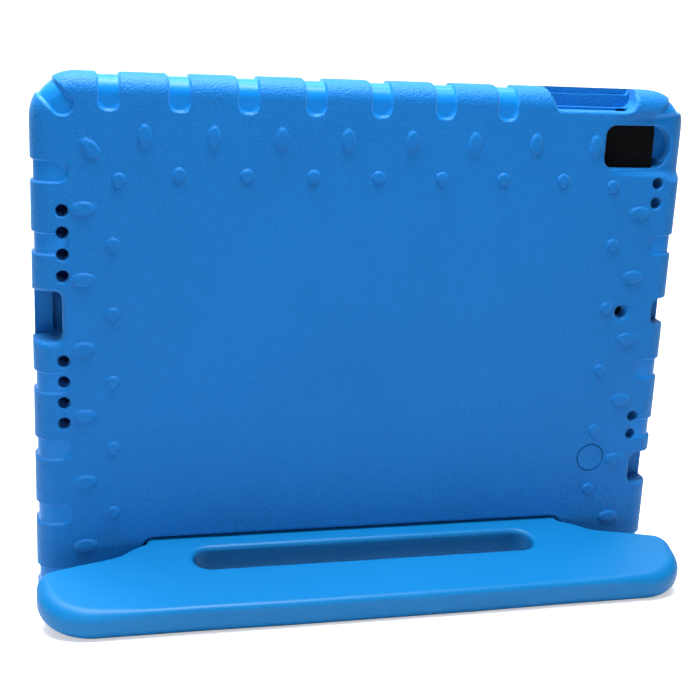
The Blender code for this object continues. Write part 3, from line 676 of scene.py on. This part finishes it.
def dish_cutter():
    """Solid that scoops the finger dish: a grid whose depth is the dish function, lidded above.

    Outside the dish the grid passes just above the back, and higher over the bumps below it.
    """
    x = np.linspace(98.0, 150.0, 66)
    v = np.linspace(51.0, 96.0, 106)
    grid_x, grid_v = np.meshgrid(x, v, indexing="ij")
    depth = finger_dish(grid_x, grid_v)
    over_bumps = (grid_x < DISH_WIDENS) & (grid_v < 59.4)
    clear = np.where(over_bumps, -1.5, -0.03)
    floor = np.where(depth > 0.004, depth, clear)
    lid = np.full_like(floor, ABOVE - 1.0)
    layers = [np.stack([grid_x, layer, grid_v], -1).reshape(-1, 3) for layer in (floor, lid)]
    points = np.concatenate(layers)
    count = floor.size
    index, quads = grid_quads(*floor.shape)
    faces = quads.tolist() + (quads[:, ::-1] + count).tolist()
    edge = np.concatenate([index[:, 0], index[-1, 1:], index[-2::-1, -1], index[0, -2:0:-1]])
    after = np.roll(edge, -1)
    faces += np.stack([edge, edge + count, after + count, after], -1).tolist()
    return piece("dish_cut", faced_out(mesh_of("dish_cut", in_case(points), faces)))


def solid_piece(name, rings):
    """Closed solid of the case's frame through rings of points."""
    points, faces = capped(rings)
    return piece(name, faced_out(mesh_of(name, in_case(points), faces)))


def notch_outline():
    """Outline of the notch between the lugs, its lower corners following the wings' edge."""
    knots = [(x, AXIS_HEIGHT - reach + LUG_CLEARANCE) for x, reach in WING_EDGE[1:-1]]
    right = [(SHOULDER[0], NOTCH_LOWEST)] + knots[::-1]
    right += [(LUG_INNER, AXIS_HEIGHT - 7.8), (LUG_INNER, BOTTOM)]
    corners = right + [(-x, v) for x, v in reversed(right)]
    return softened(corners, NOTCH_RADII + NOTCH_RADII[::-1], 0.6)


def hinge_cutters():
    """Notch between the lugs, the room in which the wings swing, the cove and the sockets."""
    made = [through_cut("notch_cut", notch_outline(), 1.2, ABOVE, CASE_DEPTH + 3.0)]
    cove = disc((AXIS_DEPTH, AXIS_HEIGHT), COVE_RADIUS)
    ends = [np.insert(cove, 0, x, axis=1) for x in (-LUG_INNER, LUG_INNER)]
    made.append(solid_piece("cove_cut", ends))
    for side in (-1, 1):
        start, end = LUG_INNER - 1.5, LUG_INNER + SOCKET_DEPTH
        profile = [(start, AXLE), (start, SOCKET_RADIUS), (end, SOCKET_RADIUS), (end, AXLE)]
        profile = [(side * x, radius) for x, radius in profile]
        made.append(turned_along_x(f"socket_cut_{side}", profile))
        made.append(sweep_cutter(side))
    return made


def sweep_cutter(side):
    """Room for a wing: a block below the hinge line, less the knuckle that the foot keeps."""
    knots = [(x, reach - SWEEP_CLEARANCE) for x, reach in WING_EDGE]
    inner, outer = LUG_INNER - 1.6, ASIDE
    profile = [(inner, AXLE), (inner, knots[0][1])] + knots
    profile += [(outer, knots[-1][1] + 2.0), (outer, AXLE)]
    knuckle = turned_along_x("knuckle", [(side * x, radius) for x, radius in profile], 96)
    x, v, half = side * SWEEP_MIDDLE, AXIS_HEIGHT - SWEEP_HALF - 0.4, SWEEP_HALF
    block = softened(boxed(x - half, x + half, v - half, v + half), 0.0, 20.0)
    ends = [AXIS_DEPTH - SWEEP_REACH, AXIS_DEPTH + SWEEP_REACH]
    rings = [np.insert(block, 1, d, axis=1) for d in ends]
    made = solid_piece(f"sweep_cut_{side}", rings)
    cut(made, knuckle)
    settled(made)
    bpy.data.objects.remove(knuckle)
    return made


def bump_places():
    """(x, v, angle, half length) of every dot and oval on the back."""
    places = [((k - 4) * PITCH, DOT_ROW, 0.0, BUMP_RADIUS) for k in range(1, 8)]
    places += [(side * CORNER_DOT[0], CORNER_DOT[1], 0.0, BUMP_RADIUS) for side in (-1, 1)]
    for side in (-1, 1):
        heights = [PATTERN_TOP - SIDE_PITCH * m for m in range(1, 6)]
        places += [(side * DOT_COLUMN, v, 0.0, BUMP_RADIUS) for v in heights]
    places += [((k - 3.5) * PITCH, OVAL_ROW, 0.0, OVAL_HALF) for k in range(8)]
    for side in (-1, 1):
        heights = [PATTERN_TOP - SIDE_PITCH * (j + 0.5) for j in range(6)]
        places += [(side * OVAL_COLUMN, v, 90.0, OVAL_HALF) for v in heights]
    places.append((*CORNER_OVAL, 45.0, OVAL_HALF))
    return places


def bump_solid(name, x, v, angle, half_length):
    """Low button with a rounded flat top on a flared foot, its circle drawn out to an ellipse."""
    radius, height = np.array(BUMP_RADII) * BUMP_RADIUS, np.array(BUMP_HEIGHTS) * BUMP_HEIGHT
    radius, height = np.append(radius, radius[-1]), np.append(height, -1.0)
    round_way = np.radians(np.linspace(0, 360, BUMP_SIDES, endpoint=False))
    c, s = math.cos(math.radians(angle)), math.sin(math.radians(angle))
    rings = []
    for r, h in zip(radius, height):
        across = r * np.cos(round_way)
        along = r * half_length / BUMP_RADIUS * np.sin(round_way)
        level = np.full(BUMP_SIDES, -h)
        rings.append(np.stack([x + across * c - along * s, level, v + across * s + along * c], -1))
    return solid_piece(name, rings)


def merged(name, objects):
    """One object that holds several that don't meet."""
    shape = bmesh.new()
    for obj in objects:
        shape.from_mesh(obj.data)
        bpy.data.objects.remove(obj)
    mesh = bpy.data.meshes.new(name)
    shape.to_mesh(mesh)
    shape.free()
    return piece(name, mesh)


def finished(obj, angle):
    """Smooth skin, sharp only above an angle, its flat faces kept flat beside roundings."""
    obj.data.shade_smooth()
    obj.data.set_sharp_from_angle(angle=math.radians(angle))
    weighted = obj.modifiers.new("flat_faces", "WEIGHTED_NORMAL")
    weighted.keep_sharp = True
    weighted.weight = 60


def build_shell():
    """The shell: its skin with the buttons added and every cutter taken off."""
    points, faces = shell_skin()
    shell = piece("foam_shell", mesh_of("foam_shell", in_case(points), faces))
    buttons = [bump_solid(f"bump_{i}", *place) for i, place in enumerate(bump_places())]
    bumps = merged("bumps", buttons)
    tools = [cut(shell, bumps, "UNION")]
    tools += [cut(shell, tool) for tool in [dish_cutter()] + opening_cutters() + hinge_cutters()]
    settled(shell)
    for tool in tools:
        bpy.data.objects.remove(tool)
    return shell


# ---------------------------------------------------------------- handle


def handle_outline():
    """Outline of the handle in its plane, anticlockwise with reach up, corners softened."""
    outer = HANDLE_REACH - HANDLE_CROWN
    right = [(TONGUE_HALF, TONGUE_END), (TONGUE_HALF, TONGUE_ROOT)] + WING_EDGE[1:-1]
    right += [(HANDLE_HALF, WING_EDGE[-1][1] + 2.4), (HANDLE_HALF, outer + 0.8)]
    radii = [3.5, 2.0, 4.0, 8.0, 8.0, 10.0, 8.5, WING_CORNER]
    for share in (0.66, 0.33):
        right.append(((HANDLE_HALF - WING_CORNER) * share, HANDLE_REACH - HANDLE_CROWN * share**2))
        radii.append(60.0)
    corners = right + [(-x, reach) for x, reach in reversed(right)]
    return softened(corners, radii + radii[::-1], 0.7)


def handle_skin():
    """Closed skin of the handle: a rounded section carried between its outline and its slot.

    Each place of the outline is paired with the place of the slot that lies towards it from the
    slot's middle line. The section goes round: slot wall, top face, outer edge, lower face.
    """
    outline = handle_outline()
    normal, mitre = normals_of(outline)
    radius = (SLOT_FAR - SLOT_NEAR) / 2
    middle = np.array([0.0, (SLOT_FAR + SLOT_NEAR) / 2])
    end = SLOT_HALF - radius
    nearest = np.stack([np.clip(outline[:, 0], -end, end), np.full(len(outline), middle[1])], -1)
    way = outline - nearest
    way = way / np.hypot(way[:, 0], way[:, 1])[:, None]
    outer_side = smooth_step(outline[:, 1], 24.0, 42.0)
    near_end = smooth_step(np.abs(outline[:, 0]), 92.0, 130.0)
    edge_top = 2.4 + 0.4 * outer_side + 3.6 * outer_side * near_end
    edge_low = 3.0 + 2.0 * outer_side
    slot_round, thick = SLOT_ROUND, HANDLE_HALF_THICK
    rows = []

    def lay(flat, rise):
        """One row of the skin, at one height or at one for each point."""
        rows.append(np.insert(flat, 2, rise, axis=1))

    def outer(inset, rise):
        """One row round the outer edge, drawn in by inset."""
        lay(outline - normal * (inset * np.minimum(mitre, 1.4))[:, None], rise)

    def inner(spread, rise):
        """One row round the slot, grown by spread."""
        lay(nearest + way * (radius + spread), rise)

    inner(0.0, 0.0)
    inner(0.0, (thick - slot_round) * 0.6)
    for turn in np.radians(np.linspace(0, 90, 8)):
        inner(slot_round * (1 - math.cos(turn)), thick - slot_round * (1 - math.sin(turn)))
    inside = rows[-1][:, :2]
    top_edge = outline - normal * (edge_top * np.minimum(mitre, 1.4))[:, None]
    for share in np.linspace(0, 1, 9)[1:-1]:
        lay(inside + (top_edge - inside) * share, thick)
    for turn in np.radians(np.linspace(0, 90, 12)):
        outer(edge_top * (1 - math.sin(turn)), thick - edge_top * (1 - math.cos(turn)))
    for turn in np.radians(np.linspace(0, 90, 12)):
        outer(edge_low * (1 - math.cos(turn)), -thick + edge_low * (1 - math.sin(turn)))
    low_edge = outline - normal * (edge_low * np.minimum(mitre, 1.4))[:, None]
    low_inside = nearest + way * (radius + slot_round)
    for share in np.linspace(0, 1, 7)[1:-1]:
        lay(low_edge + (low_inside - low_edge) * share, -thick)
    for turn in np.radians(np.linspace(90, 0, 8)):
        inner(slot_round * (1 - math.cos(turn)), -thick + slot_round * (1 - math.sin(turn)))
    inner(0.0, -(thick - slot_round) * 0.6)
    grid = np.array(rows)
    count, columns = grid.shape[:2]
    k, n = np.meshgrid(np.arange(count), np.arange(columns), indexing="ij")
    after, right = (k + 1) % count, (n + 1) % columns
    here, after = k * columns, after * columns
    quads = np.stack([here + n, here + right, after + right, after + n], -1)
    return grid.reshape(-1, 3), quads.reshape(-1, 4).tolist()


def build_handle():
    """The handle as one closed skin."""
    points, faces = handle_skin()
    return piece("foam_handle", faced_out(mesh_of("foam_handle", in_handle(points), faces)))


# ---------------------------------------------------------------- small pieces


def build_plug():
    """Round plug, turned: a faintly dished top, a rolled rim and a straight skirt."""
    rings = []
    for radius, depth in PLUG_PROFILE:
        rings.append(np.insert(disc(PLUG_PLACE, radius, 64), 1, depth, axis=1))
    return solid_piece("pressed_plug", rings)


# ---------------------------------------------------------------- finishes


def group(name, sockets_in, sockets_out):
    """Empty shader group with named inputs and outputs."""
    tree = bpy.data.node_groups.new(name, "ShaderNodeTree")
    for label, kind, value in sockets_in:
        made = tree.interface.new_socket(label, in_out="INPUT", socket_type=kind)
        if value is not None:
            made.default_value = value
    for label, kind in sockets_out:
        tree.interface.new_socket(label, in_out="OUTPUT", socket_type=kind)
    return tree, tree.nodes.new("NodeGroupInput"), tree.nodes.new("NodeGroupOutput")


def node(tree, kind, inputs=(), **settings):
    """A node with its settings, its sockets set to values or joined to other sockets."""
    made = tree.nodes.new(kind)
    for key, value in settings.items():
        setattr(made, key, value)
    for key, value in dict(inputs).items():
        if isinstance(value, bpy.types.NodeSocket):
            tree.links.new(value, made.inputs[key])
        else:
            made.inputs[key].default_value = value
    return made


def calc(tree, operation, a, b=0.0, c=0.0):
    """Result of one sum on up to three values."""
    return node(tree, "ShaderNodeMath", {0: a, 1: b, 2: c}, operation=operation).outputs[0]


def ramp(tree, value, low, high, to_low=0.0, to_high=1.0):
    """Value between two limits, eased and carried over to another range."""
    inputs = {"Value": value, "From Min": low, "From Max": high}
    inputs |= {"To Min": to_low, "To Max": to_high}
    return node(tree, "ShaderNodeMapRange", inputs, interpolation_type="SMOOTHSTEP").outputs[0]


def leather_grain():
    """Pebble grain of moulded foam: creased cells, broken up by a finer noise."""
    tree, entry, exit_node = group(
        "foam_leather_grain",
        [
            ("Vector", "NodeSocketVector", None),
            ("Cells per metre", "NodeSocketFloat", 850.0),
            ("Fine share", "NodeSocketFloat", 0.35),
        ],
        [("Height", "NodeSocketFloat"), ("Crease", "NodeSocketFloat")],
    )
    place, cells, fine = (entry.outputs[n] for n in ("Vector", "Cells per metre", "Fine share"))
    warp = node(tree, "ShaderNodeTexNoise", {"Vector": place, "Scale": 600.0, "Detail": 1.0})
    centred = {0: warp.outputs["Color"], 1: (0.5, 0.5, 0.5)}
    shift = node(tree, "ShaderNodeVectorMath", centred, operation="SUBTRACT")
    small = {0: shift.outputs[0], "Scale": 0.0012}
    shift = node(tree, "ShaderNodeVectorMath", small, operation="SCALE")
    both = {0: place, 1: shift.outputs[0]}
    moved = node(tree, "ShaderNodeVectorMath", both, operation="ADD")
    pebble = node(
        tree,
        "ShaderNodeTexVoronoi",
        {"Vector": moved.outputs[0], "Scale": cells, "Smoothness": 0.6},
        feature="SMOOTH_F1",
    )
    noise = node(tree, "ShaderNodeTexNoise", {"Vector": place, "Scale": 2600.0, "Detail": 2.0})
    dome = calc(tree, "SUBTRACT", 1.0, pebble.outputs["Distance"])
    height = calc(tree, "MULTIPLY_ADD", noise.outputs["Fac"], fine, dome)
    tree.links.new(height, exit_node.inputs["Height"])
    # Crease is 1 in the creases between pebbles. The shell's finish paints them darker as painted
    # shade; the other finishes use it only for roughness.
    crease = ramp(tree, pebble.outputs["Distance"], 0.35, 0.75)
    tree.links.new(crease, exit_node.inputs["Crease"])
    return tree


def mottle():
    """Slow cloudy change of a finish: handling marks a hand across and specks a few millimetres."""
    tree, entry, exit_node = group(
        "foam_mottle",
        [("Vector", "NodeSocketVector", None), ("Broad scale", "NodeSocketFloat", 14.0)],
        [("Broad", "NodeSocketFloat"), ("Specks", "NodeSocketFloat")],
    )
    place, broad = (entry.outputs[n] for n in ("Vector", "Broad scale"))
    clouds = node(tree, "ShaderNodeTexNoise", {"Vector": place, "Scale": broad, "Detail": 3.0})
    specks = node(tree, "ShaderNodeTexNoise", {"Vector": place, "Scale": 420.0, "Detail": 2.0})
    tree.links.new(ramp(tree, clouds.outputs["Fac"], 0.3, 0.7), exit_node.inputs["Broad"])
    tree.links.new(ramp(tree, specks.outputs["Fac"], 0.62, 0.78), exit_node.inputs["Specks"])
    return tree


def finish(name):
    """An empty material: its tree, its shader and Object coordinates."""
    made = bpy.data.materials.new(name)
    made.use_nodes = True
    tree = made.node_tree
    shader = tree.nodes["Principled BSDF"]
    place = node(tree, "ShaderNodeTexCoord").outputs["Object"]
    return made, tree, shader, place


def placed(tree, source, inputs):
    """A group placed in a material with its own values."""
    return node(tree, "ShaderNodeGroup", inputs, node_tree=source)


def pebbled(tree, shader, height, strength, distance):
    """Grain on a shader, from a height."""
    inputs = {"Height": height, "Strength": strength, "Distance": distance}
    bump = node(tree, "ShaderNodeBump", inputs)
    tree.links.new(bump.outputs["Normal"], shader.inputs["Normal"])


def tint_mix(tree, share, dark, light):
    """Colour between two, by share."""
    made = node(tree, "ShaderNodeMix", {"Factor": share}, data_type="RGBA")
    made.inputs["A"].default_value = (*dark, 1.0)
    made.inputs["B"].default_value = (*light, 1.0)
    return made.outputs["Result"]


def shade(colour, factor):
    """Colour made darker or lighter."""
    return tuple(min(1.0, c * factor) for c in colour)


def shell_finish(grain, clouds):
    """Blue foam with leather grain; the groove floors are smooth and glossier, and are painted a
    little lighter as a painted highlight; the grain's creases are painted darker as painted shade.
    """
    made, tree, shader, place = finish("shell_foam_skin")
    smooth_floor_and_highlight = node(tree, "ShaderNodeAttribute", attribute_name="groove_floor").outputs["Fac"]
    pebbles = placed(tree, grain, {"Vector": place, "Cells per metre": 1150.0})
    cloud = placed(tree, clouds, {"Vector": place})
    tone = calc(tree, "MULTIPLY_ADD", cloud.outputs["Broad"], 0.12, 0.18)
    # Painted shade: the grain's creases are painted darker.
    tone = calc(tree, "MULTIPLY_ADD", pebbles.outputs["Crease"], -0.16, tone)
    # Painted highlight: the groove floors are painted lighter, towards the lit copy of the shell
    # blue.
    tone = calc(tree, "MULTIPLY_ADD", smooth_floor_and_highlight, 0.42, tone)
    # Shell blue runs from a shaded copy to a lit copy. The random mottle, the painted shade of the
    # creases and the painted highlight of the groove floors move the colour along it.
    colour = tint_mix(tree, tone, shade(SHELL_BLUE, 0.9), shade(SHELL_BLUE, 1.45))
    tree.links.new(colour, shader.inputs["Base Color"])
    rough = calc(tree, "MULTIPLY_ADD", cloud.outputs["Specks"], -0.06, 0.5)
    rough = calc(tree, "MULTIPLY_ADD", smooth_floor_and_highlight, -0.17, rough)
    tree.links.new(rough, shader.inputs["Roughness"])
    keep = calc(tree, "MULTIPLY_ADD", smooth_floor_and_highlight, -0.85, 1.0)
    height = calc(tree, "MULTIPLY", pebbles.outputs["Height"], keep)
    pebbled(tree, shader, height, 0.9, 0.00025)
    shader.inputs["Specular IOR Level"].default_value = 0.16
    shader.inputs["Sheen Weight"].default_value = 0.3
    shader.inputs["Sheen Roughness"].default_value = 0.45
    shader.inputs["Sheen Tint"].default_value = (0.3, 0.68, 1.0, 1.0)
    return made


def handle_finish(grain, clouds):
    """Satin blue foam, nearly smooth, with a faint grain."""
    made, tree, shader, place = finish("handle_foam_skin")
    pebbles = placed(tree, grain, {"Vector": place, "Cells per metre": 1500.0, "Fine share": 0.6})
    cloud = placed(tree, clouds, {"Vector": place, "Broad scale": 18.0})
    tone = calc(tree, "MULTIPLY_ADD", cloud.outputs["Broad"], 0.4, 0.3)
    colour = tint_mix(tree, tone, shade(HANDLE_BLUE, 0.93), shade(HANDLE_BLUE, 1.07))
    tree.links.new(colour, shader.inputs["Base Color"])
    rough = calc(tree, "MULTIPLY_ADD", cloud.outputs["Broad"], 0.05, 0.4)
    tree.links.new(rough, shader.inputs["Roughness"])
    pebbled(tree, shader, pebbles.outputs["Height"], 0.12, 0.0001)
    shader.inputs["Specular IOR Level"].default_value = 0.22
    return made


def moulded_finish(name, colour, roughness, grain, clouds, cells, strength, gloss=0.4):
    """Plain moulded plastic, rubber or card: its own grain and a slow change of tone."""
    made, tree, shader, place = finish(name)
    pebbles = placed(tree, grain, {"Vector": place, "Cells per metre": cells, "Fine share": 0.5})
    cloud = placed(tree, clouds, {"Vector": place, "Broad scale": 30.0})
    tone = calc(tree, "MULTIPLY_ADD", cloud.outputs["Broad"], 0.6, 0.2)
    base = tint_mix(tree, tone, shade(colour, 0.8), shade(colour, 1.25))
    tree.links.new(base, shader.inputs["Base Color"])
    rough = calc(tree, "MULTIPLY_ADD", pebbles.outputs["Crease"], 0.1, roughness)
    tree.links.new(rough, shader.inputs["Roughness"])
    pebbled(tree, shader, pebbles.outputs["Height"], strength, 0.0001)
    shader.inputs["Specular IOR Level"].default_value = gloss
    return made


def floor_finish():
    """Matt white paper with the faintest tooth."""
    made, tree, shader, place = finish("studio_floor_paper")
    tooth = node(tree, "ShaderNodeTexNoise", {"Vector": place, "Scale": 400.0, "Detail": 2.0})
    tone = ramp(tree, tooth.outputs["Fac"], 0.3, 0.7)
    paper = tint_mix(tree, tone, shade(WHITE, 0.72), shade(WHITE, 0.75))
    tree.links.new(paper, shader.inputs["Base Color"])
    seen = node(tree, "ShaderNodeLightPath").outputs["Is Camera Ray"]
    glow = tint_mix(tree, seen, shade(WHITE, 0.0), WHITE)
    tree.links.new(glow, shader.inputs["Emission Color"])
    shader.inputs["Emission Strength"].default_value = 0.5
    shader.inputs["Roughness"].default_value = 0.9
    shader.inputs["Specular IOR Level"].default_value = 0.1
    return made


def dress(obj, made):
    """Gives an object one material."""
    obj.data.materials.clear()
    obj.data.materials.append(made)


def mark_grooves(obj):
    """Gives each point its share of groove floor, from its place on the back or the rim."""
    points = np.empty(len(obj.data.vertices) * 3)
    obj.data.vertices.foreach_get("co", points)
    x, y, z = (points.reshape(-1, 3) - HINGE).T / MM
    c, s = math.cos(LEAN), math.sin(LEAN)
    v = -y * s + z * c + AXIS_HEIGHT
    depth = y * c + z * s + AXIS_DEPTH
    # The share makes the groove floors smoother and paints a highlight on them in the shell's
    # finish.
    layer = obj.data.attributes.new("groove_floor", "FLOAT", "POINT")
    layer.data.foreach_set("value", groove_share(x, v, depth).astype(np.float32))


# ---------------------------------------------------------------- studio


def area_light(name, place, target, size, energy, colour=WHITE):
    """Soft box at a place, turned towards a target."""
    data = bpy.data.lights.new(name, "AREA")
    data.shape = "RECTANGLE"
    data.size, data.size_y = size
    data.energy = energy
    data.color = colour
    lamp = bpy.data.objects.new(name, data)
    bpy.context.scene.collection.objects.link(lamp)
    lamp.location = place
    lamp.rotation_euler = (Vector(target) - Vector(place)).to_track_quat("-Z", "Y").to_euler()
    return lamp


def backdrop_sheet():
    """Paper sweep: a flat floor that turns up through a quarter circle into a wall."""
    turn = np.linspace(0, math.pi / 2, 25)
    y = np.concatenate([[-1.0], 0.7 + 0.6 * np.sin(turn), [1.3]])
    z = np.concatenate([[0.0], 0.6 - 0.6 * np.cos(turn), [2.2]])
    x = np.linspace(-2.2, 2.2, 9)
    grid = np.stack([np.repeat(x[:, None], len(y), 1), np.tile(y, (9, 1)), np.tile(z, (9, 1))], -1)
    quads = grid_quads(*grid.shape[:2])[1]
    sheet = piece("studio_paper", mesh_of("studio_paper", grid.reshape(-1, 3), quads.tolist()))
    sheet.data.shade_smooth()
    return sheet


def studio():
    """White paper sweep, a soft light overhead, a weaker one by the viewer and one on the paper."""
    sheet = backdrop_sheet()
    dress(sheet, floor_finish())
    world = bpy.data.worlds.new("studio_air")
    bpy.context.scene.world = world
    world.use_nodes = True
    air = world.node_tree
    soft = air.nodes["Background"]
    soft.inputs["Color"].default_value = (0.93, 0.96, 1.0, 1.0)
    soft.inputs["Strength"].default_value = 0.15
    wall = node(air, "ShaderNodeBackground", {"Color": (1.0, 1.0, 1.0, 1.0), "Strength": 1.0})
    seen = node(air, "ShaderNodeLightPath").outputs["Is Camera Ray"]
    both = node(air, "ShaderNodeMixShader", {0: seen, 1: soft.outputs[0], 2: wall.outputs[0]})
    air.links.new(both.outputs[0], air.nodes["World Output"].inputs["Surface"])
    area_light("overhead_softbox", (-0.08, -0.13, 0.62), (0.0, 0.0, 0.1), (0.5, 0.2), 7.8)
    cool = (0.72, 0.92, 1.0)
    area_light("viewer_softbox", (-0.8, -1.3, 0.75), (0.0, 0.0, 0.1), (0.7, 0.7), 3.6, cool)
    area_light("paper_light", (0.0, 0.35, 1.5), (0.0, 1.2, 0.3), (2.0, 0.5), 35.0)


def camera():
    """Long lens low in front of the back's left half, turned a little to the right and down."""
    data = bpy.data.cameras.new("view")
    data.lens = LENS
    data.sensor_width = 36.0
    eye = bpy.data.objects.new("view", data)
    bpy.context.scene.collection.objects.link(eye)
    place = in_case(EYE_PLACE)
    origin = in_case([0.0, 0.0, 0.0])
    across, upward = [in_case(np.array(way) / MM) - origin for way in (EYE_RIGHT, EYE_UP)]
    across, upward = Vector(across).normalized(), Vector(upward)
    back = across.cross(upward).normalized()
    upward = back.cross(across).normalized()
    turn = Matrix((across, upward, back)).transposed()
    eye.matrix_world = Matrix.Translation(place) @ turn.to_4x4()
    data.clip_start, data.clip_end = 0.01, 20.0
    bpy.context.scene.camera = eye


# ---------------------------------------------------------------- all together


def main():
    """Builds, dresses and places every piece, then sets up the studio and the camera."""
    bpy.context.scene.view_settings.view_transform = "Standard"
    grain, clouds = leather_grain(), mottle()
    foam = shell_finish(grain, clouds)
    satin = handle_finish(grain, clouds)
    card = moulded_finish("black_card", CARD_BLACK, 0.8, grain, clouds, 700.0, 0.2, 0.1)
    plastic = moulded_finish("blue_nylon", NYLON_BLUE, 0.35, grain, clouds, 2200.0, 0.1)
    rubber = moulded_finish("black_rubber", RUBBER_BLACK, 0.65, grain, clouds, 1600.0, 0.2)

    shell = build_shell()
    mark_grooves(shell)
    finished(shell, 38)
    dress(shell, foam)
    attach(shell, "case")
    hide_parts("shell")

    handle = build_handle()
    finished(handle, 50)
    dress(handle, satin)
    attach(handle, "handle")
    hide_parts("handle")

    plug = build_plug()
    finished(plug, 60)
    dress(plug, foam)
    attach(plug, "case")
    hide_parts("gate_plug")

    dress(frame["nodes"]["insert_card"], card)
    for side in ("left", "right"):
        for name in ("pivot_pin", "pin_anchor", "socket_bush"):
            dress(frame["nodes"][f"{name}_{side}"], plastic)
        dress(frame["nodes"][f"friction_washer_{side}"], rubber)

    studio()
    camera()


main()
